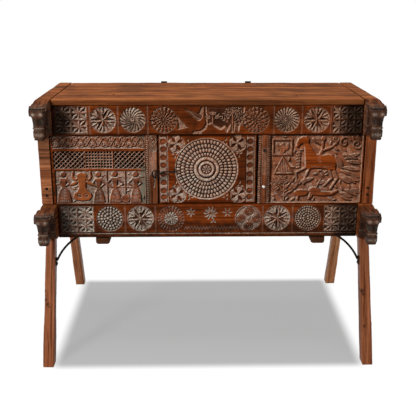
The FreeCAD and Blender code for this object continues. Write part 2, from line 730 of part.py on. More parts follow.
def square_frame(reach):
    x0, x1, low, high = SQUARE_FRAME
    wide = SQUARE_FRAME_WIDTH
    inner = field(
        (x0 + wide, x1 - wide, low + wide, high - wide), (reach[0] - CUT_OVER, reach[1] + CUT_OVER), Z_SILL
    )
    return field(SQUARE_FRAME, reach, Z_SILL).cut(inner)


def horse_and_rider(reach):
    shapes = [prism(HORSE, reach, Z_SILL), prism(HORSE_TAIL, reach, Z_SILL), field(MANE, reach, Z_SILL)]
    for path in HORSE_LEGS + RIDER:
        shapes += limbs(path, LIMB_HALF, reach, Z_SILL)
    shapes.append(disc(*RIDER_HEAD, reach, Z_SILL))
    return shapes


def right_panel_carving():
    jamb_side, post_side, sill_side, head_side = RIDE_MARGIN
    place = (JAMB_OUT + jamb_side, POST_IN - post_side, sill_side, OPENING_HEIGHT - head_side)
    reach = keep_reach(PANEL_FRONT, GROUND_DEPTH)
    kept = horse_and_rider(reach) + [square_frame(reach), prism(TENT, reach, Z_SILL)]
    for path in BRANCHES:
        kept += limbs(path, BRANCH_HALF, reach, Z_SILL)
    for path in BEASTS:
        kept += limbs(path, BEAST_HALF, reach, Z_SILL)
    kept += [prism(leaf_outline(start, end, SPRAY_HALF), reach, Z_SILL) for start, end in SPRAYS]
    return [without(field(place, cut_reach(PANEL_FRONT, GROUND_DEPTH), Z_SILL), kept)]


def boss_dome(share):
    return BOSS_DOME * (1 - share * share)


def door_boss(z0):
    # A low dome with ring-shaped swellings, turned about its own middle.
    radius = BOSS_RADIUS - BOSS_EDGE_GAP
    y_bed = DOOR_FRONT + BOSS_BED
    profile = []
    for inner, crest, outer, rise in BOSS_RINGS:
        profile += [(inner, boss_dome(inner)), (crest, boss_dome(crest) + rise), (outer, boss_dome(outer))]
    profile += [(1.0, -BOSS_ROOT), (0.0, -BOSS_ROOT)]
    points = [V(share * radius, y_bed - rise, 0) for share, rise in profile]
    turned = Part.Face(Part.makePolygon(points + points[:1])).revolve(V(0, 0, 0), V(0, 1, 0), 360)
    return turned.translated(V(BOSS_MIDDLE[0], 0, z0 + BOSS_MIDDLE[1]))


def door_strip(x0, x1, z0, z1):
    # A sunk border with a column of discs left standing.
    high = z1 - z0 - DOOR_STRIP_MARGIN
    strip = field((x0, x1, DOOR_STRIP_MARGIN, high), cut_reach(DOOR_FRONT, DOOR_STRIP_DEPTH), z0)
    reach = keep_reach(DOOR_FRONT, DOOR_STRIP_DEPTH)
    count = int((high - DOOR_STRIP_MARGIN) / DOOR_OVAL_PITCH)
    kept = [
        disc((x0 + x1) / 2, DOOR_STRIP_MARGIN + (index + 0.5) * DOOR_OVAL_PITCH, DOOR_OVAL_RADIUS, reach, z0)
        for index in range(count)
    ]
    return without(strip, kept)


def door_carving(z0, z1):
    cutters = [disc(*BOSS_MIDDLE, BOSS_RADIUS, cut_reach(DOOR_FRONT, BOSS_BED), z0)]
    for flower in DOOR_FLOWERS:
        cutters += rosette(
            flower, CHIP_START, DOOR_FLOWER_RADIUS, 4, SIX_CHIP_HALF, math.tau / 8, DOOR_FRONT, z0
        )
    cutters += [door_strip(x0, x1, z0, z1) for x0, x1 in DOOR_STRIPS]
    return cutters


# Rails

def rail(y0, z0, z1):
    tenon = rail_tenon(y0 + RAIL_THICKNESS / 2, z0, z1)
    bar = block(-BEAM_IN, BEAM_IN, y0, y0 + RAIL_THICKNESS, z0, z1)
    return joined(bar, tenon, flip_x(tenon))


def rail_groove(z0, z1):
    # Takes the tongues of one jamb and one panel.
    return block(JAMB_IN, BEAM_IN, PANEL_FRONT - FIT, PANEL_BACK + FIT, z0, z1)


def pivot_socket(z0, depth):
    return Part.makeCylinder(PIVOT_RADIUS + PIVOT_FIT, depth, V(PIVOT_X, PIVOT_Y, z0))


def upper_front_rail():
    groove = rail_groove(Z_HEAD, Z_HEAD + GROOVE_DEPTH)
    depth = PIVOT_IN_RAIL - DOOR_END_GAP + PIVOT_END_GAP
    bar = without(rail(FRONT, Z_HEAD, Z_RIM), (groove, flip_x(groove), pivot_socket(Z_HEAD, depth)))
    return without(bar, upper_rail_carving())


def lower_front_rail():
    groove = rail_groove(Z_SILL - GROOVE_DEPTH, Z_SILL)
    depth = PIVOT_IN_RAIL - DOOR_END_GAP
    bar = without(rail(FRONT, Z_LOW, Z_SILL), (groove, flip_x(groove), pivot_socket(Z_SILL - depth, depth)))
    return without(bar, lower_rail_carving())


# Front panels and jambs

def front_panel():
    # The right-hand panel: tongues into the post, the jamb and both rails.
    board = block(JAMB_OUT - TONGUE, POST_IN + TONGUE, PANEL_FRONT, PANEL_BACK, Z_SILL, Z_HEAD)
    x0 = JAMB_OUT + FIT
    x1 = BEAM_IN - FIT
    upper = block(x0, x1, PANEL_FRONT, PANEL_BACK, Z_HEAD, Z_HEAD + TONGUE)
    lower = block(x0, x1, PANEL_FRONT, PANEL_BACK, Z_SILL - TONGUE, Z_SILL)
    return joined(board, upper, lower)


def jamb():
    post = block(JAMB_IN, JAMB_OUT, JAMB_FRONT, JAMB_BACK, Z_SILL, Z_HEAD)
    x0 = JAMB_IN + FIT
    upper = block(x0, JAMB_OUT, PANEL_FRONT, PANEL_BACK, Z_HEAD, Z_HEAD + TONGUE)
    lower = block(x0, JAMB_OUT, PANEL_FRONT, PANEL_BACK, Z_SILL - TONGUE, Z_SILL)
    groove = block(JAMB_OUT - GROOVE_DEPTH, JAMB_OUT, PANEL_FRONT - FIT, PANEL_BACK + FIT, Z_SILL, Z_HEAD)
    return joined(post, upper, lower).cut(groove)


def jamb_nails(grow=0.0):
    x_middle = (JAMB_IN + JAMB_OUT) / 2
    return [
        headed_pin(
            V(x_middle, JAMB_FRONT, Z_SILL + height), V(0, 1, 0),
            (NAIL_RADIUS, JAMB_NAIL_LENGTH), (JAMB_NAIL_HEAD_RADIUS, JAMB_NAIL_HEAD_HEIGHT), grow,
        )
        for height in JAMB_NAIL_HEIGHTS
    ]


def door_stop():
    x0 = -JAMB_OUT + GROOVE_DEPTH + STOP_EDGE
    x1 = -JAMB_IN + LATCH_GAP + STOP_LAP
    return block(x0, x1, JAMB_BACK, JAMB_BACK + STOP_THICKNESS, Z_SILL, Z_HEAD)


# Door

def door_ledge_middles():
    return (Z_SILL + LEDGE_INSET, Z_HEAD - LEDGE_INSET)


def ledge_ends():
    return (-JAMB_IN + LATCH_GAP + STOP_LAP + LEDGE_STOP_GAP, PIVOT_X - LEDGE_PIVOT_GAP)


def door_ledge(z_middle):
    x0, x1 = ledge_ends()
    return block(
        x0, x1, DOOR_BACK, DOOR_BACK + LEDGE_THICKNESS, z_middle - LEDGE_WIDTH / 2, z_middle + LEDGE_WIDTH / 2
    )


def ledge_nails(z_middle, grow=0.0):
    x0, x1 = ledge_ends()
    length = LEDGE_THICKNESS + DOOR_THICKNESS / 2
    return [
        headed_pin(
            V(x0 + share * (x1 - x0), DOOR_BACK + LEDGE_THICKNESS, z_middle), V(0, -1, 0),
            (NAIL_RADIUS, length), (NAIL_HEAD_RADIUS, NAIL_HEAD_HEIGHT), grow,
        )
        for share in (0.12, 0.5, 0.88)
    ]


def all_ledge_nails(grow=0.0):
    low, high = door_ledge_middles()
    return ledge_nails(low, grow) + ledge_nails(high, grow)


def door_pivot(upper, grow=0.0):
    z_door = Z_HEAD - DOOR_END_GAP if upper else Z_SILL + DOOR_END_GAP
    up = 1 if upper else -1
    start = V(PIVOT_X, PIVOT_Y, z_door - up * (PIVOT_IN_DOOR + grow))
    return Part.makeCylinder(PIVOT_RADIUS + grow, PIVOT_IN_DOOR + PIVOT_IN_RAIL + grow, start, V(0, 0, up))


def door_leaf():
    z0 = Z_SILL + DOOR_END_GAP
    z1 = Z_HEAD - DOOR_END_GAP
    leaf = block(-JAMB_IN + LATCH_GAP, PIVOT_X, DOOR_FRONT, DOOR_BACK, z0, z1)
    rounded_edge = Part.makeCylinder(DOOR_THICKNESS / 2, z1 - z0, V(PIVOT_X, PIVOT_Y, z0))
    holes = [door_pivot(True, NAIL_FIT), door_pivot(False, NAIL_FIT), door_staple(STAPLE_FIT)]
    leaf = without(joined(leaf, rounded_edge), holes + all_ledge_nails(NAIL_FIT))
    return joined(without(leaf, door_carving(z0, z1)), door_boss(z0))


# Chain

def staple(x, y_face, z, reach, bend, grow=0.0):
    # A round-ended staple whose two legs lie one above the other.
    radius = STAPLE_WIRE_RADIUS + grow
    y_bend = y_face - reach + bend
    legs = [
        Part.makeCylinder(
            radius, y_face + STAPLE_DEPTH + grow - y_bend, V(x, y_bend, z + side * bend), V(0, 1, 0)
        )
        for side in (-1, 1)
    ]
    if grow:
        return legs[0].fuse(legs[1])
    section = Part.Face(Part.Wire(Part.makeCircle(radius, V(x, y_bend, z + bend), V(0, 1, 0))))
    eye = section.revolve(V(x, y_bend, z), V(1, 0, 0), 180)
    return joined(eye, *legs)


def chain_reach():
    # From the crown of the door staple to the jamb staple, along the hooked chain.
    return ring_middle() - JAMB_STAPLE_OFFSET


def jamb_staple_x():
    return -JAMB_IN - JAMB_STAPLE_INSET


def door_staple_x():
    return jamb_staple_x() + chain_reach() * math.cos(CHAIN_DROP)


def door_staple(grow=0.0):
    z = Z_SILL + DOOR_STAPLE_HEIGHT
    return staple(door_staple_x(), DOOR_FRONT, z, DOOR_STAPLE_REACH, DOOR_STAPLE_BEND, grow)


def jamb_staple(grow=0.0):
    z = Z_SILL + DOOR_STAPLE_HEIGHT - chain_reach() * math.sin(CHAIN_DROP)
    return staple(jamb_staple_x(), JAMB_FRONT, z, JAMB_STAPLE_REACH, JAMB_STAPLE_BEND, grow)


def chain_place():
    # Chain frame: u along the hooked chain, v forward, w upward, from the crown of the door staple.
    along = V(-math.cos(CHAIN_DROP), 0, -math.sin(CHAIN_DROP))
    forward = V(0, -1, 0)
    crown = V(door_staple_x(), DOOR_FRONT - DOOR_STAPLE_REACH, Z_SILL + DOOR_STAPLE_HEIGHT)
    turn = FreeCAD.Rotation(along, forward, along.cross(forward), "XYZ")
    return FreeCAD.Placement(crown, turn)


def link_starts():
    # Where each link's near bend is centred along the chain.
    inner = LINK_BEND - LINK_WIRE_RADIUS
    first = inner - STAPLE_WIRE_RADIUS - CHAIN_PLAY
    pitch = LINK_STRAIGHT + 2 * inner - CHAIN_PLAY
    return [first + index * pitch for index in range(LINK_COUNT)]


def ring_middle():
    inner = LINK_BEND - LINK_WIRE_RADIUS
    far_bend = link_starts()[-1] + LINK_STRAIGHT
    return far_bend + inner - CHAIN_PLAY + RING_BEND - RING_WIRE_RADIUS


def link_joint(index):
    # Distance along the chain of the round wire that link or ring number index turns on.
    starts = link_starts()
    if index == 0:
        return 0.0
    if index == LINK_COUNT:
        return ring_middle() - RING_BEND
    if index % 2:
        return starts[index] - LINK_BEND
    return starts[index - 1] + LINK_STRAIGHT + LINK_BEND


def chain_link(index):
    # Even links lie flat, odd ones stand upright.
    start = link_starts()[index]
    across = V(0, 1, 0) if index % 2 == 0 else V(0, 0, 1)
    normal = V(0, 0, 1) if index % 2 == 0 else V(0, -1, 0)
    along = V(1, 0, 0)
    near = along * start
    far = along * (start + LINK_STRAIGHT)
    sides = [
        Part.makeCylinder(LINK_WIRE_RADIUS, LINK_STRAIGHT, near + across * side * LINK_BEND, along)
        for side in (-1, 1)
    ]
    near_face = Part.Face(Part.Wire(Part.makeCircle(LINK_WIRE_RADIUS, near + across * LINK_BEND, along)))
    far_face = Part.Face(Part.Wire(Part.makeCircle(LINK_WIRE_RADIUS, far - across * LINK_BEND, along)))
    near_bend = near_face.revolve(near, normal, 180)
    far_bend = far_face.revolve(far, normal, 180)
    link = joined(sides[0], sides[1], near_bend, far_bend)
    link.Placement = chain_place()
    return link


def hasp_ring():
    ring = Part.makeTorus(RING_BEND, RING_WIRE_RADIUS, V(ring_middle(), 0, 0), V(0, 1, 0))
    ring.Placement = chain_place()
    return ring


# Side, back and floor boards, and bearers

def side_boards():
    holes = [post_peg(height, NAIL_FIT) for height in PEG_HEIGHTS]
    y_end = -POST_BACK + TONGUE

    def board(z0, z1):
        plank = block(SIDE_IN, SIDE_OUT, -y_end, y_end, z0, z1)
        return without(plank, holes + [flip_y(hole) for hole in holes])

    return boards_across(SIDE_BOARD_COUNT, Z_SILL, Z_HEAD, board)


def back_boards():
    x_end = POST_IN + TONGUE
    return boards_across(
        BACK_BOARD_COUNT, Z_SILL, Z_HEAD, lambda z0, z1: block(-x_end, x_end, BACK_IN, BACK_OUT, z0, z1)
    )


def floor_boards():
    x_end = BEAM_IN - FLOOR_END_GAP
    y_end = REAR - RAIL_THICKNESS
    holes = at_corners(stay_top_screw(NAIL_FIT))

    def board(y0, y1):
        return without(block(-x_end, x_end, y0, y1, Z_LOW, Z_LOW + FLOOR_THICKNESS), holes)

    return boards_across(FLOOR_BOARD_COUNT, -y_end, y_end, board)


def bearer(x_middle):
    half = BEARER_WIDTH / 2
    y_end = REAR - BEARER_SETBACK
    bar = block(x_middle - half, x_middle + half, -y_end, y_end, Z_LOW - BEARER_HEIGHT, Z_LOW)
    low_edges = [
        edge for edge in bar.Edges
        if edge.BoundBox.ZMax < Z_LOW - BEARER_HEIGHT / 2 and edge.BoundBox.YLength > y_end
    ]
    return bar.makeFillet(BEARER_ROUND, low_edges)


# Legs, stays and screws

def leg_y(z):
    return FOOT_Y + LEG_RUN * z / LEG_HEIGHT


def front_leg():
    # The right-hand front leg: upright inner face, tapering outer face, flat foot.
    half = LEG_DEPTH / 2 / math.cos(LEG_SLOPE)

    def level(z, width):
        y = leg_y(z)
        corners = [
            V(LEG_IN, y - half, z),
            V(LEG_IN + width, y - half, z),
            V(LEG_IN + width, y + half, z),
            V(LEG_IN, y + half, z),
        ]
        return Part.makePolygon(corners + corners[:1])

    shaft = Part.makeLoft([level(0, LEG_WIDTH_FOOT), level(Z_LOW, LEG_WIDTH_TOP)], True, True)
    return joined(shaft, leg_tenon()).cut(stay_low_screw(NAIL_FIT))


def stay_ends():
    # Middles of the rod's ends: against the leg's inner face, and under the floor.
    z_low = Z_LOW - STAY_DROP
    low = V(LEG_IN - STAY_RADIUS, leg_y(z_low), z_low)
    bearer_side = RIGHT_BEARER_MIDDLE + BEARER_WIDTH / 2
    high = V(bearer_side + STAY_FROM_BEARER, FRONT + RAIL_THICKNESS + STAY_FROM_RAIL, Z_LOW - STAY_RADIUS)
    return low, high


def stay_heading():
    low, high = stay_ends()
    heading = V(high.x - low.x, high.y - low.y, 0)
    return heading.normalize()


def stay_low_tab():
    low, high = stay_ends()
    return block(
        LEG_IN - STAY_TAB_THICKNESS, LEG_IN,
        low.y - STAY_TAB_WIDTH / 2, low.y + STAY_TAB_WIDTH / 2,
        low.z - STAY_TAB_LENGTH, low.z + STAY_TAB_LENGTH / 2,
    )


def stay_top_tab():
    low, high = stay_ends()
    heading = stay_heading()
    tab = Part.makeBox(
        STAY_TAB_LENGTH * 1.5, STAY_TAB_WIDTH, STAY_TAB_THICKNESS,
        V(-STAY_TAB_LENGTH / 2, -STAY_TAB_WIDTH / 2, -STAY_TAB_THICKNESS),
    )
    turn = FreeCAD.Rotation(V(1, 0, 0), heading)
    tab.Placement = FreeCAD.Placement(V(high.x, high.y, Z_LOW), turn)
    return tab


def stay_low_screw(grow=0.0):
    low, high = stay_ends()
    point = V(LEG_IN - STAY_TAB_THICKNESS, low.y, low.z - STAY_TAB_LENGTH + STAY_SCREW_FROM_END)
    shank = (SCREW_RADIUS, SCREW_LENGTH + STAY_TAB_THICKNESS)
    return headed_pin(point, V(1, 0, 0), shank, (SCREW_HEAD_RADIUS, SCREW_HEAD_HEIGHT), grow)


def stay_top_screw(grow=0.0):
    low, high = stay_ends()
    reach = STAY_TAB_LENGTH - STAY_SCREW_FROM_END
    point = V(high.x, high.y, Z_LOW - STAY_TAB_THICKNESS) + stay_heading() * reach
    shank = (SCREW_RADIUS, SCREW_LENGTH + STAY_TAB_THICKNESS)
    return headed_pin(point, V(0, 0, 1), shank, (SCREW_HEAD_RADIUS, SCREW_HEAD_HEIGHT), grow)


def stay():
    # A round rod bent to one arc between the leg and the floor, steeper at the leg.
    low, high = stay_ends()
    heading = stay_heading()
    run = math.hypot(high.x - low.x, high.y - low.y)
    rise = high.z - low.z
    radius = math.hypot(run, rise) / 2 / math.sin(STAY_BEND / 2)
    top_angle = math.atan2(rise, run) - STAY_BEND / 2
    tangent = heading * math.cos(top_angle) + V(0, 0, math.sin(top_angle))
    inward = heading * math.sin(top_angle) - V(0, 0, math.cos(top_angle))
    section = Part.Face(Part.Wire(Part.makeCircle(STAY_RADIUS, high, tangent)))
    rod = section.revolve(high + inward * radius, heading.cross(V(0, 0, 1)), math.degrees(STAY_BEND))
    overshoot = block(-BEAM_OUT, BEAM_OUT, FOOT_Y, 0, Z_LOW, Z_SILL)
    screws = [stay_low_screw(NAIL_FIT), stay_top_screw(NAIL_FIT)]
    return without(joined(rod, stay_low_tab(), stay_top_tab()), [overshoot] + screws)


# Lid and hinges

def lid_boards():
    x_end = BEAM_IN - LID_SIDE_GAP
    boards = boards_across(
        LID_BOARD_COUNT, LID_FRONT, LID_BACK, lambda y0, y1: block(-x_end, x_end, y0, y1, Z_RIM, Z_TOP)
    )
    front_edges = [
        edge for edge in boards[0].Edges
        if edge.BoundBox.YMax < LID_FRONT + LID_OVERHANG / 2 and edge.BoundBox.XLength > x_end
    ]
    boards[0] = boards[0].makeFillet(LID_EDGE_ROUND, front_edges)
    holes = all_batten_nails(NAIL_FIT) + lid_hinge_nails(NAIL_FIT)
    return [without(board, holes) for board in boards]


def batten_end():
    return REAR - RAIL_THICKNESS - BATTEN_END_GAP


def lid_batten():
    half = BATTEN_WIDTH / 2
    y_end = batten_end()
    bar = block(BATTEN_MIDDLE - half, BATTEN_MIDDLE + half, -y_end, y_end, Z_RIM - BATTEN_THICKNESS, Z_RIM)
    return without(bar, all_batten_nails(NAIL_FIT))


def all_batten_nails(grow=0.0):
    # Two flush nails through each lid board into each batten, driven from above where the two lap.
    length = LID_THICKNESS + BATTEN_THICKNESS * 0.6
    board_depth = (LID_BACK - LID_FRONT) / LID_BOARD_COUNT
    nails = []
    for board in range(LID_BOARD_COUNT):
        y0 = max(LID_FRONT + board * board_depth, -batten_end())
        y1 = min(LID_FRONT + (board + 1) * board_depth, batten_end())
        for share, side in ((0.3, -1), (0.7, 1)):
            point = V(BATTEN_MIDDLE + side * BATTEN_WIDTH * 0.22, y0 + share * (y1 - y0), Z_TOP)
            nail = Part.makeCylinder(LID_NAIL_RADIUS + grow, length + grow, point, V(0, 0, -1))
            nails += [nail, flip_x(nail)]
    return nails


def hinge_bar(y0, y1, z0, z1, width):
    half = width / 2
    return block(HINGE_MIDDLE - half, HINGE_MIDDLE + half, y0, y1, z0, z1)


def hinge_cylinder(radius, x0, x1):
    return Part.makeCylinder(radius, x1 - x0, V(x0, HINGE_Y, Z_TOP), V(1, 0, 0))


def hinge_bore():
    half = HINGE_WIDTH
    return hinge_cylinder(HINGE_PIN_RADIUS + HINGE_PIN_FIT, HINGE_MIDDLE - half, HINGE_MIDDLE + half)


def lid_hinge_leaf():
    # A plate on the lid's back edge, with one knuckle in the middle.
    y0 = LID_BACK
    y1 = LID_BACK + HINGE_LEAF_THICKNESS
    z0 = Z_RIM + HINGE_LID_LEAF_RISE
    plate = hinge_bar(y0, y1, z0, z0 + HINGE_LID_LEAF_HEIGHT, HINGE_WIDTH)
    tongue = hinge_bar(y0, y1, z0, Z_TOP, HINGE_KNUCKLE_LENGTH)
    bend = hinge_bar(y0, HINGE_Y, Z_TOP - HINGE_KNUCKLE_RADIUS, Z_TOP, HINGE_KNUCKLE_LENGTH)
    half = HINGE_KNUCKLE_LENGTH / 2
    knuckle = hinge_cylinder(HINGE_KNUCKLE_RADIUS, HINGE_MIDDLE - half, HINGE_MIDDLE + half)
    return without(joined(plate, tongue, bend, knuckle), [hinge_bore()] + lid_hinge_nails(NAIL_FIT))


def back_hinge_leaf():
    # A plate on the rear rail, with a knuckle at each side of the lid's one.
    plate = hinge_bar(REAR, REAR + HINGE_LEAF_THICKNESS, Z_RIM - HINGE_LEAF_HEIGHT, Z_TOP, HINGE_WIDTH)
    half = HINGE_WIDTH / 2
    barrel = hinge_cylinder(HINGE_KNUCKLE_RADIUS, HINGE_MIDDLE - half, HINGE_MIDDLE + half)
    slot_half = HINGE_KNUCKLE_LENGTH / 2 + HINGE_KNUCKLE_GAP
    slot_reach = HINGE_KNUCKLE_RADIUS + HINGE_KNUCKLE_GAP
    slot = block(
        HINGE_MIDDLE - slot_half, HINGE_MIDDLE + slot_half,
        HINGE_Y - 2 * slot_reach, HINGE_Y + 2 * slot_reach, Z_TOP - slot_reach, Z_TOP + 2 * slot_reach,
    )
    return without(joined(plate, barrel), [slot, hinge_bore()] + back_hinge_nails(NAIL_FIT))


def hinge_pin():
    half = HINGE_WIDTH / 2
    return hinge_cylinder(HINGE_PIN_RADIUS, HINGE_MIDDLE - half, HINGE_MIDDLE + half)


def lid_hinge_nails(grow=0.0):
    # Flush nails, so that the leaf can lie close to the one behind it.
    z = Z_RIM + HINGE_LID_LEAF_RISE + HINGE_LID_LEAF_HEIGHT / 2
    length = HINGE_LEAF_THICKNESS + HINGE_WIDTH / 2
    nails = []
    for step in (-1, 1):
        start = V(HINGE_MIDDLE + step * HINGE_NAIL_SPREAD, LID_BACK + HINGE_LEAF_THICKNESS, z)
        nail = Part.makeCylinder(NAIL_RADIUS + grow, length + grow, start, V(0, -1, 0))
        nails += [nail, flip_x(nail)]
    return nails


def back_hinge_nails(grow=0.0):
    length = HINGE_LEAF_THICKNESS + RAIL_THICKNESS / 2
    nails = []
    for height in HINGE_NAIL_HEIGHTS:
        for step in (-1, 1):
            start = V(
                HINGE_MIDDLE + step * HINGE_NAIL_SPREAD, REAR + HINGE_LEAF_THICKNESS,
                Z_RIM - HINGE_LEAF_HEIGHT + height,
            )
            nail = headed_pin(
                start, V(0, -1, 0), (NAIL_RADIUS, length), (NAIL_HEAD_RADIUS, NAIL_HEAD_HEIGHT), grow
            )
            nails += [nail, flip_x(nail)]
    return nails


def upper_rear_rail():
    bar = rail(REAR - RAIL_THICKNESS, Z_HEAD, Z_RIM)
    return without(bar, back_hinge_nails(NAIL_FIT))


def save(name, *solids):
    shape = solids[0] if len(solids) == 1 else Part.makeCompound(list(solids))
    shape.exportStep("parts/" + name + ".step")


def save_pair(name, shape):
    save(name + "_right", shape)
    save(name + "_left", flip_x(shape))


def save_four(name, shape):
    save_pair(name + "_front", shape)
    save_pair(name + "_rear", flip_y(shape))


def main():
    os.makedirs("parts", exist_ok=True)

    save_pair("beam_upper", upper_beam())
    save_pair("beam_lower", lower_beam())
    save_pair("post_front", front_post(PANEL_FRONT, PANEL_BACK))
    save_pair("post_rear", flip_y(front_post(-BACK_OUT, -BACK_IN)))
    pegs = [peg for height in PEG_HEIGHTS for peg in at_corners(post_peg(height))]
    save("post_pegs", *pegs)

    save("rail_front_upper", upper_front_rail())
    save("rail_front_lower", lower_front_rail())
    save("rail_rear_upper", upper_rear_rail())
    save("rail_rear_lower", rail(REAR - RAIL_THICKNESS, Z_LOW, Z_SILL))

    save("panel_front_right", without(front_panel(), right_panel_carving()))
    save("panel_front_left", without(flip_x(front_panel()), left_panel_carving()))
    save("jamb_right", without(jamb(), jamb_nails(NAIL_FIT)))
    save("jamb_left", flip_x(jamb()).cut(jamb_staple(STAPLE_FIT)))
    save("jamb_nails", *jamb_nails())
    save("door_stop", door_stop())

    right_boards = side_boards()
    save("side_boards_right", *right_boards)
    save("side_boards_left", *[flip_x(board) for board in right_boards])
    save("back_boards", *back_boards())
    save("floor_boards", *floor_boards())
    save("bearer_left", bearer(LEFT_BEARER_MIDDLE))
    save("bearer_right", bearer(RIGHT_BEARER_MIDDLE))

    save_four("leg", front_leg())
    save_four("stay", stay())
    screws = at_corners(stay_low_screw()) + at_corners(stay_top_screw())
    save("stay_screws", *screws)

    front_board, middle_board, rear_board = lid_boards()
    save("lid_board_front", front_board)
    save("lid_board_middle", middle_board)
    save("lid_board_rear", rear_board)
    save_pair("lid_batten", lid_batten())
    save("lid_nails", *all_batten_nails())
    save_pair("hinge_leaf_lid", lid_hinge_leaf())
    save_pair("hinge_leaf_back", back_hinge_leaf())
    save("hinge_pins", hinge_pin(), flip_x(hinge_pin()))
    save("hinge_nails_lid", *lid_hinge_nails())
    save("hinge_nails_back", *back_hinge_nails())

    low, high = door_ledge_middles()
    save("door_leaf", door_leaf())
    save("door_ledge_lower", door_ledge(low).cut(Part.makeCompound(ledge_nails(low, NAIL_FIT))))
    save("door_ledge_upper", door_ledge(high).cut(Part.makeCompound(ledge_nails(high, NAIL_FIT))))
    save("door_nails", *all_ledge_nails())
    save("door_pivot_upper", door_pivot(True))
    save("door_pivot_lower", door_pivot(False))
    save("door_staple", door_staple())
    for index in range(LINK_COUNT):
        save("chain_link_" + str(index + 1), chain_link(index))
    save("hasp_ring", hasp_ring())
    save("jamb_staple", jamb_staple())

    # Where the chain's joints lie, for reference
    for index in range(LINK_COUNT + 1):
        point = chain_place().multVec(V(link_joint(index), 0, 0))
        print("chain joint", index + 1, round(point.x, 3), round(point.y, 3), round(point.z, 3))


main()
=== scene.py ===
import bmesh
import bpy
import json
import math
import numpy as np
from mathutils import Matrix, Vector


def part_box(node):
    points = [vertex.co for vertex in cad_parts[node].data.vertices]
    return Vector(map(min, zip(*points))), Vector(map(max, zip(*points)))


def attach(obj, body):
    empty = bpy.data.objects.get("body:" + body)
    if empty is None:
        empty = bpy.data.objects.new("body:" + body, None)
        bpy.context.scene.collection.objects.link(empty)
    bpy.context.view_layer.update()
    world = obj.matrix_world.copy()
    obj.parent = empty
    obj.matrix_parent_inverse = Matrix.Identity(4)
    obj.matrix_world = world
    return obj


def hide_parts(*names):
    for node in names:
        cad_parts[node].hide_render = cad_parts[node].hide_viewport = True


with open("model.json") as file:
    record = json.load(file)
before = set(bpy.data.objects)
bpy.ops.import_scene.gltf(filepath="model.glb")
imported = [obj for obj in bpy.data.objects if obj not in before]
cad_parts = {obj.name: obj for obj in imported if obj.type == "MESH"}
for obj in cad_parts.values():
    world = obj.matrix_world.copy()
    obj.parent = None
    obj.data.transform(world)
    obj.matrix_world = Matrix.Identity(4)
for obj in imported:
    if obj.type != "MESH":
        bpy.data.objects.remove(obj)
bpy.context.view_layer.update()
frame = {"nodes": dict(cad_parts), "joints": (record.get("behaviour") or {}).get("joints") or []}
scene = bpy.context.scene
joints = {joint["name"]: joint for joint in frame["joints"]}
mm = 0.001


def tone(red, green, blue):  # a colour as it is seen on screen, 0 to 255
    def linear(value):
        share = value / 255
        return share / 12.92 if share <= 0.04045 else ((share + 0.055) / 1.055) ** 2.4
    return (linear(red), linear(green), linear(blue), 1.0)


# Node trees

class Sock:  # one output socket; sums and products of these add Math nodes
    def __init__(self, nodes, socket):
        self.nodes = nodes
        self.socket = socket

    def __add__(self, other):
        return self.nodes.math("ADD", self, other)

    def __radd__(self, other):
        return self.nodes.math("ADD", other, self)

    def __sub__(self, other):
        return self.nodes.math("SUBTRACT", self, other)

    def __rsub__(self, other):
        return self.nodes.math("SUBTRACT", other, self)

    def __mul__(self, other):
        return self.nodes.math("MULTIPLY", self, other)

    def __rmul__(self, other):
        return self.nodes.math("MULTIPLY", other, self)

    def __truediv__(self, other):
        return self.nodes.math("DIVIDE", self, other)


class Nodes:  # adds nodes to one tree
    def __init__(self, tree):
        self.tree = tree

    def node(self, kind, settings=None, sockets=None, out=0):
        made = self.tree.nodes.new(kind)
        for key, value in (settings or {}).items():
            if key == "stops":
                self.setStops(made.color_ramp, value)
            else:
                setattr(made, key, value)
        for key, value in (sockets or {}).items():
            if isinstance(value, Sock):
                self.tree.links.new(value.socket, made.inputs[key])
            else:
                made.inputs[key].default_value = value
        return Sock(self, made.outputs[out]) if made.outputs else made

    def setStops(self, ramp, stops):
        while len(ramp.elements) < len(stops):
            ramp.elements.new(0.5)
        for element, (place, colour) in zip(ramp.elements, stops):
            element.position = place
            element.color = colour

    def math(self, operation, first, second):
        return self.node("ShaderNodeMath", {"operation": operation}, {0: first, 1: second})


class Shade(Nodes):  # one material
    def __init__(self, name):
        self.material = bpy.data.materials.new(name)
        self.material.use_nodes = True
        self.material.node_tree.nodes.clear()
        super().__init__(self.material.node_tree)
        self.place = self.node("ShaderNodeTexCoord", out="Object")

    def noise(self, scale, stretch=(1, 1, 1), detail=4.0, rough=0.55, warp=0.0):
        vector = self.node("ShaderNodeMapping", None, {"Vector": self.place, "Scale": stretch})
        sockets = {"Vector": vector, "Scale": scale, "Detail": detail, "Roughness": rough, "Distortion": warp}
        return self.node("ShaderNodeTexNoise", None, sockets)

    def span(self, value, low, high):  # smooth 0 to 1 between two limits
        sockets = {"Value": value, "From Min": low, "From Max": high}
        return self.node("ShaderNodeMapRange", {"interpolation_type": "SMOOTHSTEP"}, sockets)

    def ramp(self, value, *stops):
        return self.node("ShaderNodeValToRGB", {"stops": stops}, {"Fac": value})

    def mix(self, share, first, second):
        sockets = {0: share, 6: first, 7: second}
        return self.node("ShaderNodeMix", {"data_type": "RGBA", "clamp_factor": True}, sockets, 2)

    def axis(self, name):
        return self.node("ShaderNodeSeparateXYZ", None, {"Vector": self.place}, name)

    def attribute(self, name):
        return self.node("ShaderNodeAttribute", {"attribute_name": name}, None, "Fac")

    def finish(self, colour, rough, height, bump, fixed=None):
        normal = self.node("ShaderNodeBump", None, {"Height": height, "Strength": 1.0, "Distance": bump})
        sockets = {"Base Color": colour, "Roughness": rough, "Normal": normal, "Specular IOR Level": 0.07}
        sockets.update(fixed or {})
        surface = self.node("ShaderNodeBsdfPrincipled", None, sockets)
        self.node("ShaderNodeOutputMaterial", None, {"Surface": surface})
        return self.material


# Wood, iron and floor finishes

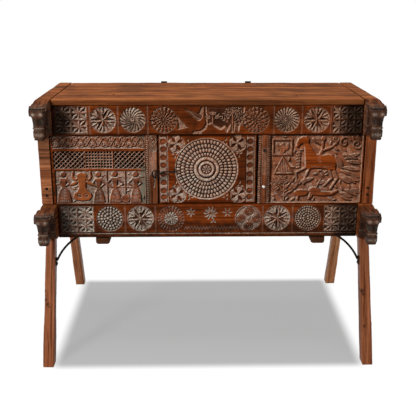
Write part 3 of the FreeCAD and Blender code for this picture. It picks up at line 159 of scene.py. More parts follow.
grainAlong = {  # noise stretch for a grain that runs along each axis, per metre
    "x": (2.2, 70, 70),
    "y": (70, 2.2, 70),
    "z": (70, 70, 2.2),
}
woods = {
    "lid": {
        "grain": "x", "dark": (84, 40, 17), "mid": (150, 82, 40), "light": (190, 116, 62),
        "stain": (64, 33, 16), "stained": 0.55, "rough": 0.5, "bump": 0.0006,
    },
    "post": {
        "grain": "z", "dark": (84, 36, 14), "mid": (130, 66, 32), "light": (164, 94, 54),
        "stain": (56, 28, 14), "stained": 0.4, "rough": 0.45, "bump": 0.0006,
    },
    "leg": {
        "grain": "z", "dark": (92, 48, 25), "mid": (130, 74, 45), "light": (160, 98, 65), "lean": 21,
        "stain": (44, 24, 14), "stained": 0.08, "rough": 0.42, "bump": 0.0005,
    },
    # the rear legs are painted lighter than the front ones, as if more light fell on them; the right one most
    "legRearRight": {
        "grain": "z", "dark": (166, 98, 58), "mid": (228, 150, 98), "light": (246, 186, 136), "lean": -21,
        "stain": (124, 72, 44), "stained": 0.1, "rough": 0.42, "bump": 0.0005,
    },
    "legRear": {
        "grain": "z", "dark": (112, 62, 36), "mid": (160, 100, 65), "light": (190, 128, 90), "lean": -21,
        "stain": (92, 50, 28), "stained": 0.1, "rough": 0.42, "bump": 0.0005,
    },
    "plank": {
        "grain": "x", "dark": (110, 60, 33), "mid": (150, 88, 54), "light": (188, 124, 84),
        "stain": (44, 27, 17), "stained": 0.5, "rough": 0.45, "bump": 0.0006,
    },
    "peg": {
        "grain": "y", "dark": (28, 17, 11), "mid": (44, 26, 16), "light": (62, 38, 24),
        "stain": (22, 14, 10), "stained": 0.4, "rough": 0.6, "bump": 0.0003,
    },
    "plain": {
        "grain": "x", "dark": (66, 36, 18), "mid": (108, 62, 34), "light": (138, 88, 54),
        "stain": (48, 28, 17), "stained": 0.5, "rough": 0.7, "bump": 0.0008,
    },
    "side": {
        "grain": "y", "dark": (70, 36, 18), "mid": (114, 62, 32), "light": (144, 86, 48),
        "stain": (50, 29, 17), "stained": 0.5, "rough": 0.62, "bump": 0.0008,
    },
    "beam": {
        "grain": "y", "dark": (80, 36, 15), "mid": (126, 66, 32), "light": (156, 92, 52),
        "stain": (54, 28, 14), "stained": 0.5, "rough": 0.5, "bump": 0.0007,
        "topGrain": "lid", "grime": (36, 27, 22), "warmth": 0.0, "gloss": 0.08,
    },
    "carved": {
        "grain": "x", "dark": (96, 38, 9), "mid": (138, 60, 17), "light": (160, 76, 27),
        "stain": (44, 19, 8), "stained": 0.75, "rough": 0.4, "bump": 0.0004, "warmth": 1.0, "gloss": 0.03,
    },
    "carvedUpright": {
        "grain": "z", "dark": (80, 35, 14), "mid": (126, 62, 30), "light": (160, 92, 58),
        "stain": (62, 31, 15), "stained": 0.45, "rough": 0.45, "bump": 0.0004, "warmth": 1.0, "gloss": 0.03,
    },
}


grainLook = {  # where streaks, stains and pores start and end in their noise
    "streaks": (0.4, 0.5, 0.61), "stains": (0.45, 0.7), "pores": (0.42, 0.3),
    "poreShare": 0.5, "fineShare": 0.38,
}


def grainOf(shade, look):  # colour, streaks and stain patches of plain wood
    stretch = grainAlong[look["grain"]]
    if "lean" in look:  # grain that follows a leaning leg
        turn = {"Vector": shade.place, "Angle": math.radians(look["lean"])}
        shade.place = shade.node("ShaderNodeVectorRotate", {"rotation_type": "X_AXIS"}, turn)
    broad = shade.noise(1.0, stretch, detail=3.0, warp=0.8)
    fine = shade.noise(4.0, stretch, detail=2.0, rough=0.6)
    patch = shade.noise(7.0, detail=3.0)
    streak = broad * (1 - grainLook["fineShare"]) + fine * grainLook["fineShare"]
    tones = [tone(*look[key]) for key in ("dark", "mid", "light")]
    stain = tone(*look["stain"])
    colour = shade.ramp(streak, *zip(grainLook["streaks"], tones))
    colour = shade.mix(shade.span(patch, *grainLook["stains"]) * look["stained"], colour, stain)
    pores = shade.span(fine, *grainLook["pores"]) * grainLook["poreShare"]
    return shade.mix(pores, colour, stain), streak, patch


def plainWood(name):
    look = woods[name]
    shade = Shade(name + "Wood")
    colour, streak, patch = grainOf(shade, look)
    colour = shade.mix(shade.attribute("worn") * (0.25 + patch * 0.4), colour, tone(*look["light"]))
    # dark marks and grime, and painted shade on the lid's front edge and on the bearers
    colour = shade.mix(shade.attribute("grime") * (0.5 + streak * 0.7), colour, tone(*look["stain"]))
    rough = look["rough"] - 0.12 + streak * 0.2
    return shade.finish(colour, rough, streak, look["bump"])


# the near-black tone paints shade in hollows and on facets turned from the light; the pale tone is dust with
# painted highlight
carvedTones = {  # a wood may have its own instead
    "dust": (212, 206, 190), "dustWarm": (210, 170, 142), "crevice": (12, 6, 3),
    "rubbed": (178, 98, 50), "paint": (96, 116, 100), "grime": (36, 20, 10),
}


def carvedWood(name):  # wood whose dust and painted highlight, paint, wear, grime and painted shade follow the carving
    look = woods[name]
    tones = {key: tone(*look.get(key, usual)) for key, usual in carvedTones.items()}
    shade = Shade(name + "Wood")
    colour, streak, patch = grainOf(shade, look)
    if "topGrain" in look:
        colour = shade.mix(shade.attribute("top"), colour, grainOf(shade, woods[look["topGrain"]])[0])
    speck = shade.noise(170.0, detail=3.0, rough=0.65)
    dust = shade.attribute("dust") * (0.3 + shade.span(speck, 0.36, 0.6) * 0.75)
    upperRight = patch + shade.axis("X") * 0.45 + shade.axis("Z") * 0.8
    warm = shade.span(upperRight, 0.71, 1.36) * look["warmth"]
    # pale dust with painted highlight
    colour = shade.mix(dust, colour, shade.mix(warm, tones["dust"], tones["dustWarm"]))
    colour = shade.mix(shade.attribute("paint") * shade.span(speck, 0.35, 0.6), colour, tones["paint"])
    colour = shade.mix(shade.attribute("worn") * (0.3 + patch * 0.6), colour, tones["rubbed"])
    grime = shade.attribute("grime") * (0.55 + speck * 0.6) * (1 - dust * 0.7)
    colour = shade.mix(grime, colour, tones["grime"])
    # painted shade
    colour = shade.mix(shade.attribute("crevice"), colour, tones["crevice"])
    rough = look["rough"] + dust * 0.35
    height = streak * 0.7 + speck * 0.3
    return shade.finish(colour, rough, height, look["bump"], {"Specular IOR Level": look["gloss"]})


ironLook = {
    "scale": ((0.35, (22, 19, 17)), (0.55, (40, 35, 31)), (0.75, (74, 66, 58))),
    "rust": (84, 48, 28), "bright": (220, 214, 206), "metallic": 0.75, "bump": 0.0004,
}


def blackIron():
    look = ironLook
    shade = Shade("blackIron")
    scale = shade.noise(90.0, rough=0.6)
    rust = shade.noise(28.0, detail=3.0)
    bright = shade.attribute("bright")
    colour = shade.ramp(scale, *[(place, tone(*value)) for place, value in look["scale"]])
    colour = shade.mix(shade.span(rust, 0.55, 0.75) * 0.5, colour, tone(*look["rust"]))
    colour = shade.mix(bright * (0.5 + scale), colour, tone(*look["bright"]))
    rough = 0.38 + scale * 0.3 - bright * 0.2
    return shade.finish(colour, rough, scale, look["bump"], {"Metallic": look["metallic"]})


def seenBy(nodes, *kinds):  # 1 on the named kinds of ray
    rays = [nodes.node("ShaderNodeLightPath", None, None, f"Is {kind} Ray") for kind in kinds]
    return sum(rays[1:], rays[0])


# patch is the grey of a painted shadow between the feet
floorLook = {"bounce": 0.34, "shadowed": 0.08, "white": 0.95, "patch": 0.4, "soft": 0.03, "reach": 30.0}


def paleFloor():  # white to the camera, with a painted soft grey shadow between the feet
    near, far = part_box("leg_front_left"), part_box("leg_rear_right")
    soft = floorLook["soft"]
    shade = Shade("paleFloor")

    def grey(name):
        return (floorLook[name],) * 3 + (1,)

    def within(axis, low, high):
        value = shade.axis(axis)
        return shade.span(value, low - soft, low + soft) * shade.span(value, high + soft, high - soft)

    patch = within("X", near[1].x, far[0].x) * within("Y", near[0].y, far[1].y)
    glow = shade.node("ShaderNodeEmission", None, {"Color": shade.mix(patch, grey("white"), grey("patch"))})
    shadow = shade.node("ShaderNodeBsdfDiffuse", None, {"Color": grey("shadowed")})
    bounce = shade.node("ShaderNodeBsdfDiffuse", None, {"Color": grey("bounce")})
    seen = shade.node("ShaderNodeAddShader", None, {0: shadow, 1: glow})
    direct = seenBy(shade, "Camera", "Glossy", "Transmission")
    both = shade.node("ShaderNodeMixShader", None, {0: direct, 1: bounce, 2: seen})
    shade.node("ShaderNodeOutputMaterial", None, {"Surface": both})
    return shade.material


plainWoods = ("lid", "post", "plank", "peg", "leg", "legRear", "legRearRight", "plain", "side")
carvedWoods = ("carved", "carvedUpright", "beam")
finishes = {name: plainWood(name) for name in plainWoods}
finishes.update({name: carvedWood(name) for name in carvedWoods})
finishes["iron"] = blackIron()
print("finishes:", len(finishes))


# Pieces

def linked(name, data):  # a new object in the scene
    made = bpy.data.objects.new(name, data)
    scene.collection.objects.link(made)
    return made


def placePiece(name, mesh, finish, node, body):
    piece = linked(name, mesh)
    mesh.materials.clear()
    mesh.materials.append(finishes[finish])
    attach(piece, body)
    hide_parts(node)
    print(name, len(mesh.polygons), "faces")


def boxOf(node):  # a node's box in millimetres
    low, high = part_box(node)
    return [value / mm for value in (low.x, high.x, low.y, high.y, low.z, high.z)]


def setValues(mesh, fields):  # one number at each point for every attribute named
    for name, values in fields.items():
        layer = mesh.attributes.new(name, "FLOAT", "POINT")
        layer.data.foreach_set("value", np.asarray(values, np.float32).ravel())


def smooth(value, low, high):
    share = np.clip((value - low) / (high - low), 0, 1)
    return share * share * (3 - 2 * share)


def between(value, low, high, soft):
    return smooth(value, low - soft, low + soft) * smooth(value, high + soft, high - soft)


def bump(value, middle, half):
    return np.exp(-((value - middle) / half) ** 2)


def fraction(value):
    return value - np.floor(value)


def triples(source, key):
    flat = np.empty(len(source) * 3, np.float32)
    source.foreach_get(key, flat)
    return flat.reshape(-1, 3).astype(float)


def points(mesh):
    return triples(mesh.vertices, "co")


def normals(mesh):
    return triples(mesh.vertex_normals, "vector")


def movePoints(mesh, co):
    mesh.vertices.foreach_set("co", co.ravel())
    mesh.update()


def ripple(co, seed, size):  # soft repeatable unevenness, about -1 to 1
    rng = np.random.default_rng(seed)
    total = np.zeros(len(co))
    for octave in range(5):
        way = rng.normal(size=3)
        way *= math.tau / (size * (0.6 + 0.35 * octave)) / np.linalg.norm(way)
        total += np.sin(co @ way + rng.uniform(0, 6.28))
    return total / 3


def mergedCopy(node):
    mesh = frame["nodes"][node].data.copy()
    shape = bmesh.new()
    shape.from_mesh(mesh)
    bmesh.ops.remove_doubles(shape, verts=shape.verts, dist=1e-6)
    bmesh.ops.dissolve_limit(shape, angle_limit=math.radians(2), verts=shape.verts, edges=shape.edges)
    return mesh, shape


def eased(node, edge):  # a copy of a node's mesh with its sharp edges rounded, edge in millimetres
    mesh, shape = mergedCopy(node)
    sharp = [line for line in shape.edges if line.calc_face_angle(0.0) > math.radians(28)]
    bmesh.ops.bevel(
        shape, geom=sharp, offset=edge * mm, segments=2, profile=0.6, affect="EDGES", clamp_overlap=True
    )
    bmesh.ops.recalc_face_normals(shape, faces=shape.faces)
    shape.to_mesh(mesh)
    shape.free()
    return mesh


def evaluated(holder, modifier):  # the plain mesh that a modifier makes of its holder
    graph = bpy.context.evaluated_depsgraph_get()
    mesh = bpy.data.meshes.new_from_object(holder.evaluated_get(graph))
    holder.modifiers.remove(modifier)
    bpy.data.objects.remove(holder)
    return mesh


def remeshed(mesh, voxel):
    holder = linked("remeshHolder", mesh)
    modifier = holder.modifiers.new("remesh", "REMESH")
    modifier.mode = "VOXEL"
    modifier.voxel_size = voxel * mm
    return evaluated(holder, modifier)


def edgeWear(mesh):  # 1 on vertices where faces turn sharply
    shape = bmesh.new()
    shape.from_mesh(mesh)
    wear = []
    for vert in shape.verts:
        turns = [edge.calc_face_angle(0.0) for edge in vert.link_edges]
        wear.append(min(1.0, max(turns, default=0.0) / 0.9))
    shape.free()
    return wear


timbers = {  # rounding of the edges and, for a hand-worked surface, its grid and height in millimetres
    "leg": {"edge": 4.0, "voxel": 3.5, "wobble": 1.4, "seed": 50},
    "post": {"edge": 2.5, "voxel": 3.0, "wobble": 1.0, "seed": 60},
    "lidBoard": {"edge": 1.8, "voxel": 4.0, "wobble": 1.1, "seed": 70},
    "sawn": {"edge": 1.6},
    "bearer": {"edge": 9},
}


def hewn(node, finish, body="chest", timber="sawn", number=0, soilAndShade=None):
    look = timbers[timber]
    mesh = eased(node, look["edge"])
    if "voxel" in look:
        mesh = remeshed(mesh, look["voxel"])
        co = points(mesh)
        seed = look["seed"] + number
        push = look["wobble"] * ((ripple(co, seed, 0.16) - 1) * 0.5 + (ripple(co, seed + 40, 0.03) - 1) * 0.2)
        movePoints(mesh, co + normals(mesh) * push[:, None] * mm)
    setValues(mesh, {"worn": edgeWear(mesh)})
    # dark marks, and painted shade on some pieces
    if soilAndShade:
        setValues(mesh, {"grime": soilAndShade(points(mesh) / mm)})
    mesh.shade_smooth()
    if "voxel" not in look:
        mesh.set_sharp_from_angle(angle=math.radians(32))
    placePiece(node + "_wood", mesh, finish, node, body)


# Carving tools: everything is laid out in millimetres on the board's face, x along and z up

def around(cx, cz, radius, degrees):
    turn = math.radians(degrees)
    return (cx + radius * math.cos(turn), cz + radius * math.sin(turn))


def sided(x, side, path):  # a path laid out from a middle line, side 1 to the right and -1 to the left
    return [(x + side * u, z) for u, z in path]


def mirrored(x, half):  # a closed outline from its right half
    return sided(x, 1, half) + sided(x, -1, half[::-1])


def only(inside, distance):  # a distance that no chisel reaches outside the area
    return np.where(inside, distance, 99)


class Relief:  # the carved face of one board
    def __init__(self, x0, x1, z0, z1, step):
        across = np.linspace(x0, x1, round((x1 - x0) / step) + 1)
        upward = np.linspace(z0, z1, round((z1 - z0) / step) + 1)
        self.box = (x0, x1, z0, z1)
        self.step = step
        self.px, self.pz = np.meshgrid(across, upward)
        for layer in ("depth", "dust", "paint", "dark", "grime", "rubbed"):
            setattr(self, layer, np.zeros(self.px.shape))

    # shapes: a distance to the shape's edge, negative inside

    def reach(self, cx, cz):
        return np.hypot(self.px - cx, self.pz - cz)

    def polar(self, cx, cz):
        return self.reach(cx, cz), np.arctan2(self.pz - cz, self.px - cx)

    def stroke(self, path, half=0.0):  # a bent line and its half width
        best = np.full(self.px.shape, 1e4)
        for (x0, z0), (x1, z1) in zip(path, path[1:]):
            ex, ez = x1 - x0, z1 - z0
            if ex == 0 and ez == 0:
                continue
            share = np.clip(((self.px - x0) * ex + (self.pz - z0) * ez) / (ex * ex + ez * ez), 0, 1)
            best = np.minimum(best, np.hypot(self.px - x0 - share * ex, self.pz - z0 - share * ez))
        return best - half

    def outline(self, corners):
        best = self.stroke(corners + corners[:1])
        inside = np.zeros(self.px.shape, bool)
        for (x0, z0), (x1, z1) in zip(corners, corners[1:] + corners[:1]):
            if z0 != z1:
                left = self.px < x0 + (self.pz - z0) * (x1 - x0) / (z1 - z0)
                inside ^= ((z0 > self.pz) != (z1 > self.pz)) & left
        return np.where(inside, -best, best)

    def oval(self, cx, cz, rx, rz, lean=0.0):
        u = (self.px - cx) * math.cos(lean) + (self.pz - cz) * math.sin(lean)
        v = (self.pz - cz) * math.cos(lean) - (self.px - cx) * math.sin(lean)
        return (np.hypot(u / rx, v / rz) - 1) * min(rx, rz)

    def rectangle(self, x0, x1, z0, z1):
        across = np.abs(self.px - (x0 + x1) / 2) - (x1 - x0) / 2
        upward = np.abs(self.pz - (z0 + z1) / 2) - (z1 - z0) / 2
        return np.maximum(across, upward)

    def leaf(self, start, end, half):  # pointed at both ends
        ex, ez = end[0] - start[0], end[1] - start[1]
        length = math.hypot(ex, ez)
        u = ((self.px - start[0]) * ex + (self.pz - start[1]) * ez) / length
        v = ((self.pz - start[1]) * ex - (self.px - start[0]) * ez) / length
        bow = half * np.sin(math.pi * np.clip(u / length, 0, 1)) ** 0.8
        return np.abs(v) + np.maximum(np.abs(u - length / 2) - length / 2, 0) - bow

    def mottled(self, seed, size):  # soft blotches, about -1 to 1
        flat = np.stack([self.px.ravel(), self.pz.ravel(), 0 * self.px.ravel()], 1) * mm
        return ripple(flat, seed, size).reshape(self.px.shape)

    # chisels: depths and widths in millimetres, dust and painted sheen 0 to 1

    def cut(self, field, dust=0.95):  # chips, field is their depth; pale dust and painted sheen on the flanks, painted shade in the bottoms
        field = np.maximum(field, 0)
        self.dust = np.maximum(self.dust, dust * smooth(field, 0.1, 0.7))
        self.darken(0.85 * smooth(field, 3.6, 6.4))
        self.depth = np.maximum(self.depth, field)

    # darken paints shade: dark bottoms, pits and shadows
    def darken(self, field):
        self.dark = np.maximum(self.dark, field)

    def powder(self, shape, dust):  # pale dust and painted sheen on ridges too, inside a shape
        self.dust = np.maximum(self.dust, dust * smooth(shape, 1.0, -1.0))

    def rub(self, field):
        self.rubbed = np.maximum(self.rubbed, field)

    def groove(self, distance, half, deep, dust=0.5):
        self.cut(deep * (1 - np.abs(distance) / half), dust=dust)

    def level(self, shape, deep, soft=1.6, dust=0.8):  # brings the inside of a shape to one depth
        inside = smooth(shape, soft, -soft)
        self.depth += (deep - self.depth) * inside
        self.dust += (dust - self.dust) * inside

    def hole(self, shape, deep):
        inside = smooth(shape, 0.9, -0.9)
        self.depth += (deep - self.depth) * inside
        # painted shade in the hole
        self.darken(inside)

    def paintedShadow(self, share, reach):  # painted shadow on the sunk ground below and right of what stands up
        shift = round(reach / self.step)
        above = np.pad(self.depth, shift, mode="edge")[2 * shift:, :-2 * shift]
        self.darken(share * smooth(self.depth - above, 1.5, 3.8))

    def worn(self, seed, deep):  # a hand-worked surface, and rounded edges
        wave = self.mottled(seed=seed, size=0.12) * 0.6 + self.mottled(seed=seed + 9, size=0.025) * 0.4
        self.depth += (wave + 1) * 0.5 * deep
        self.depth += np.abs(self.mottled(seed=seed + 21, size=0.011)) * self.dust * 0.9
        edge = -self.rectangle(*self.box)
        self.depth += 2.2 * np.clip(1 - edge / 3.5, 0, 1) ** 2


def blurred(field, times):
    for _ in range(times):
        padded = np.pad(field, 1, mode="edge")
        field = (padded[:-2, 1:-1] + padded[2:, 1:-1] + padded[1:-1, :-2] + padded[1:-1, 2:] + field) / 5
    return field


dustAndLightLook = {
    "across": -0.6, "upward": 0.8,  # dust and a painted highlight lie on facets that face left and up, towards the light
    "bendReach": 3.5,  # millimetres over which a hollow or a ridge is told from its surroundings
    "edge": (1.5, 5),  # no dust or painted highlight on the board's own edges
}


def carvedValues(relief):  # what the finish reads at each point of a carved face
    spread = round(dustAndLightLook["bendReach"] / relief.step)
    bend = relief.depth - blurred(relief.depth, spread * spread // 2 + 1)
    upward, across = np.gradient(relief.depth, relief.step)
    lean = dustAndLightLook["upward"] * upward + dustAndLightLook["across"] * across
    inner = smooth(-relief.rectangle(*relief.box), *dustAndLightLook["edge"])
    # dust, with a painted highlight on facets that face the light; painted shade in hollows, in dark bottoms
    # and on facets turned from the light
    lyingAndLit = relief.dust * np.clip(0.72 + 0.65 * lean, 0.15, 1) * (1 - 0.4 * smooth(bend, 0.1, 1.2))
    shaded = 0.92 * smooth(-lean, 0.1, 0.55)
    return {
        "dust": np.maximum(lyingAndLit, 0.9 * smooth(lean, 0.2, 0.7) * inner),
        "crevice": np.maximum.reduce([smooth(bend, 0.2, 1.5) * 0.9, relief.dark, shaded]),
        "worn": np.maximum(smooth(-bend, 0.25, 1.2) * (1 - 0.8 * relief.dust), relief.rubbed),
        "paint": relief.paint,
        "grime": relief.grime,
    }


def boardMesh(name, relief, front, back, backShape=None):
    # a closed board whose front follows the relief; front and back are its planes in millimetres
    rows, columns = relief.px.shape
    faceCo = np.stack([relief.px, front + relief.depth, relief.pz], -1).reshape(-1, 3)
    across = relief.px[0]
    backY = np.full(columns, float(back)) if backShape is None else back - backShape(across)
    low = np.stack([across, backY, np.full(columns, relief.box[2])], 1)
    high = np.stack([across, backY, np.full(columns, relief.box[3])], 1)
    co = np.concatenate([faceCo, low, high]) * mm
    grid = np.arange(rows * columns).reshape(rows, columns)
    quads = np.stack([grid[:-1, :-1], grid[:-1, 1:], grid[1:, 1:], grid[1:, :-1]], -1).reshape(-1, 4)
    lowRow = rows * columns + np.arange(columns)
    highRow = lowRow + columns
    under = np.stack([grid[0, 1:], grid[0, :-1], lowRow[:-1], lowRow[1:]], 1)
    over = np.stack([grid[-1, :-1], grid[-1, 1:], highRow[1:], highRow[:-1]], 1)
    behind = np.stack([lowRow[1:], lowRow[:-1], highRow[:-1], highRow[1:]], 1)
    faces = np.concatenate([quads, under, over, behind]).tolist()
    faces.append(grid[:, 0].tolist() + [int(highRow[0]), int(lowRow[0])])
    faces.append(grid[::-1, -1].tolist() + [int(lowRow[-1]), int(highRow[-1])])
    mesh = bpy.data.meshes.new(name)
    mesh.from_pydata(co.tolist(), [], faces)
    clean = np.zeros(2 * columns)  # the back
    face = carvedValues(relief)
    setValues(mesh, {name: np.concatenate([field.ravel(), clean]) for name, field in face.items()})
    mesh.shade_smooth()
    mesh.set_sharp_from_angle(angle=math.radians(60))
    return mesh


def carvedPiece(node, relief, finish="carved"):
    front, back = boxOf(node)[2:4]
    mesh = boardMesh(node, relief, front, back)
    placePiece(node + "_carved", mesh, finish, node, "chest")


# Roundels and chip carving

def sixPetal(r, cx, cz, radius, shift=0):  # six long petals, three short chips between each two
    reach, turn = r.polar(cx, cz)
    petal = np.full(r.px.shape, -1e3)
    for step in range(6):
        rims = [around(cx, cz, radius, shift + 60 * step + side) for side in (-60, 60)]
        spans = [r.reach(*rim) for rim in rims]
        petal = np.maximum(petal, radius - np.maximum(*spans))
    inside = reach < radius
    r.cut(np.where(inside, np.clip(petal * 1.25, 0, 6.0), 0), dust=0.7)
    chips = 18
    place = chips * (turn - math.radians(shift)) / math.tau + 0.5
    side = np.abs(fraction(place) - 0.5) * math.tau * reach / chips
    wedge = math.pi * reach / chips - side
    chip = np.minimum.reduce([radius - reach, -petal, wedge, reach - radius * 0.45]) - 0.5
    r.cut(np.where(inside, np.clip(chip * 1.1, 0, 4.2), 0), dust=1.0)
    r.powder(only(inside, np.maximum(petal, radius * 0.5 - reach)), dust=0.8)
    # painted shade between the petals in the middle
    r.darken(np.where(reach < radius * 0.5, 0.6 * smooth(-petal, 0.5, 2.0), 0))
    r.groove(reach - radius, half=1.6, deep=1.4)


def pinwheel(r, cx, cz, radius, rays, twist):  # broad pale rays, each falling to a line of painted shade
    reach, turn = r.polar(cx, cz)
    share = fraction(rays * (turn + twist * reach / radius) / math.tau)
    inside = smooth(reach, radius, radius - 2) * smooth(reach, 1, radius * 0.18)
    r.cut(3.2 * share * inside, dust=0.95)
    r.darken(0.95 * smooth(share, 0.5, 0.78) * inside)
    r.cut(2.2 * smooth(reach, 4, 2))
    r.powder(reach - radius + 1, dust=1.0)


def flowerRings(r, cx, cz, rings, deep=3.4, dust=1.0):  # each ring: near, far, petals, shift
    reach, turn = r.polar(cx, cz)
    for near, far, count, shift in rings:
        share = (reach - near) / (far - near)
        place = count * turn / math.tau + shift
        side = 2 * np.abs(fraction(place) - 0.5)
        gap = smooth(side - 0.74 * np.sqrt(np.clip(1 - share ** 2, 0, 1)), -0.16, 0.1)
        r.cut(np.where((reach >= near) & (reach < far), deep * gap, 0), dust=dust)


def seedDisc(r, cx, cz, radius, size):  # rings of small round seeds
    reach, turn = r.polar(cx, cz)
    ring = np.floor(reach / size)
    middle = (ring + 0.5) * size
    count = np.maximum(1, np.round(math.tau * middle / (size * 0.9)))
    place = count * turn / math.tau + ring * 0.37
    across = (fraction(place) - 0.5) * math.tau * middle / count
    seed = np.hypot(across / (size * 0.44), (reach - middle) / (size * 0.52))
    inside = reach < radius - radius % size
    r.cut(np.where(inside, 0.4 + 6.0 * smooth(seed, 0.4, 1.1), 0), dust=1.0)
    r.powder(reach - radius + radius % size, dust=0.95)
    r.groove(reach - radius, half=2, deep=1.5)


def starChips(r, cx, cz, near, far, half, count, shift):  # pointed chips round a middle
    for step in range(count):
        turn = shift + 360 * step / count
        chip = -r.leaf(around(cx, cz, near, turn), around(cx, cz, far, turn), half)
        r.cut(np.clip(chip * 0.95, 0, 6))


def chipBlock(r, x0, x1, z0, z1):  # two by two squares, each fluted into an eight-rayed star
    wide, tall = (x1 - x0) / 2, (z1 - z0) / 2
    for column in range(2):
        for row in range(2):
            left, low = x0 + column * wide, z0 + row * tall
            reach, turn = r.polar(left + wide / 2, low + tall / 2)
            edge = -r.rectangle(left, left + wide, low, low + tall)
            valley = 1 - np.abs(2 * fraction(8 * turn / math.tau) - 1)
            chip = np.minimum.reduce([0.3 * valley * reach, 0.9 * (edge - 1), 6.5 * valley])
            r.cut(np.where(edge > 0, chip, 0), dust=1.0)
            # painted shade in the bottoms of the chips
            r.darken(np.where(edge > 0, 0.9 * smooth(chip, 3.6, 5.4), 0))
    for x in (x0, (x0 + x1) / 2, x1):
        r.groove(only((r.pz > z0) & (r.pz < z1), r.px - x), half=1.5, deep=1.5)
    for z in (z0, (z0 + z1) / 2, z1):
        r.groove(only((r.px > x0) & (r.px < x1), r.pz - z), half=1.5, deep=1.5)
    r.powder(r.rectangle(x0, x1, z0, z1), dust=0.12)


def fourCircles(r, cx, cz, radius):  # a ring that holds four small ringed discs
    reach = r.reach(cx, cz)
    r.level(reach - radius, deep=3.2, soft=1.2, dust=0.75)
    r.level(np.abs(reach - radius + 2) - 1.6, deep=0.4, soft=0.9, dust=0.5)
    for turn in range(0, 360, 90):
        small = r.reach(*around(cx, cz, radius * 0.58, turn))
        r.level(small - radius * 0.34, deep=0.4, soft=2.0, dust=0.02)
        r.groove(small - radius * 0.26, half=1.6, deep=2.4, dust=0.4)
        r.groove(small - radius * 0.12, half=1.4, deep=2.0, dust=0.4)
    r.level(r.rectangle(cx - 6, cx + 6, cz - 6, cz + 6), deep=0.3, soft=1.0, dust=0.9)


# Front rails

upperRail = {
    "step": 1.3, "roundelZ": 877, "blockZ": (829, 925), "blocks": ((-534, -425), (439, 544)),
    "dividers": (-416, -317, -213, 231, 330, 432), "margin": 3,
    "roundels": (  # how each is cut, its middle, then its sizes
        (sixPetal, -369, 45),
        (pinwheel, -265, 45, 19, 0.75),
        (flowerRings, -156, [(0, 9, 8, 0), (9, 19, 12, 0.5), (19, 31, 16, 0), (33, 46, 18, 0.5)]),
        (flowerRings, 168, [(0, 9, 8, 0), (9, 18, 8, 0.5), (18, 33, 12, 0), (35, 46, 18, 0.5)]),
        (pinwheel, 277, 45, 22, 0.3),
        (sixPetal, 383, 45),
    ),
}
lowerRail = {
    "step": 1.3, "roundelZ": 513, "blockZ": (461, 560), "blocks": ((-536, -417), (426, 548)),
    "dividers": (-303, -192, 201, 310), "margin": 4, "mouldingZ": 457,
    "roundels": (
        (seedDisc, -359, 48, 11.8),
        (sixPetal, -247, 48),
        (pinwheel, -136, 26, 14, 0.35),
        (flowerRings, -136, [(28, 38, 22, 0), (38, 49, 24, 0.5)], 2.6, 0.35),
        (fourCircles, 148, 49),
        (sixPetal, 254, 48, 30),
        (seedDisc, 366, 48, 9.5),
    ),
    "stars": (  # middle, near and far end of the chips, half width, count and turn
        (-63, 536, 2, 19, 3.4, 6, 30), (9, 533, 3, 27, 4.2, 10, 0),
        (19, 503, 0, 12, 4.0, 3, 90), (71, 536, 2, 20, 3.0, 6, 0),
    ),
    "zigzagX": (-82, 120, 11), "zigzagZ": (471, 482),
}
birdLook = {
    "wedge": [(-87, 917), (-42, 879), (-34, 875), (-26, 878), (-20, 888), (-18, 922), (-24, 922), (-34, 900)],
    "wing": ((-60, 908), (-22, 883), 5),
    "tail": [(-116, 898), (-72, 851), (-108, 843), (-104, 862)],
    "breast": [(-9, 921), (-7, 880), (-5, 862), (-12, 847), (-26, 837), (-52, 832)],
    "feet": (-46, -30), "footZ": (829, 838),
    "ground": [
        (-4, 922), (2, 862), (12, 866), (24, 854), (46, 843), (58, 852), (66, 834), (80, 858), (84, 834),
        (90, 834), (94, 866), (106, 836), (111, 861), (125, 874), (127, 922),
    ],
    # foot, top, reach of the branches, their fan in degrees and their count
    "plant": ((17, 862), (17, 904), 24, (35, 145), 4),
    "tree": ((87, 832), (87, 921), 42, (8, 148), 9),
}


def railFace(node, look):
    shoulder = boxOf("lid_board_front")[1] + 2
    return Relief(-shoulder, shoulder, *boxOf(node)[4:], look["step"])


def railPattern(r, look, low, high):  # what both rails carry; low and high end the dividers
    for ends in look["blocks"]:
        chipBlock(r, *ends, *look["blockZ"])
    for carve, x, *sizes in look["roundels"]:
        carve(r, x, look["roundelZ"], *sizes)
    for x in look["dividers"]:
        r.groove(only((r.pz > low) & (r.pz < high), r.px - x), half=4.5, deep=1.2, dust=0.3)


def leafy(r, foot, top, reach, fan, branches):  # a stem whose fanned branches carry pale pointed leaves
    (x, low), high = foot, top[1]
    roof = smooth(r.pz, high - 1, high + 1) * 9
    r.level(r.stroke([foot, top], half=2.6), deep=0.4, soft=1.2, dust=0.1)
    for step in range(branches):
        share = step / (branches - 1)
        turn = fan[0] + (fan[1] - fan[0]) * share
        fork = (x, low + (high - low) * (0.3 + 0.3 * (1 - abs(2 * share - 1))))
        r.level(r.stroke([fork, around(*fork, reach, turn)], half=1.0) + roof, deep=1.0, soft=1.0, dust=0.2)
        for place in (0.45, 0.7, 0.95):
            at = around(*fork, reach * place, turn)
            for side in (-36, 36):
                r.level(r.leaf(at, around(*at, 12, turn + side), 1.9) + roof, deep=0.3, soft=1.0, dust=0.85)


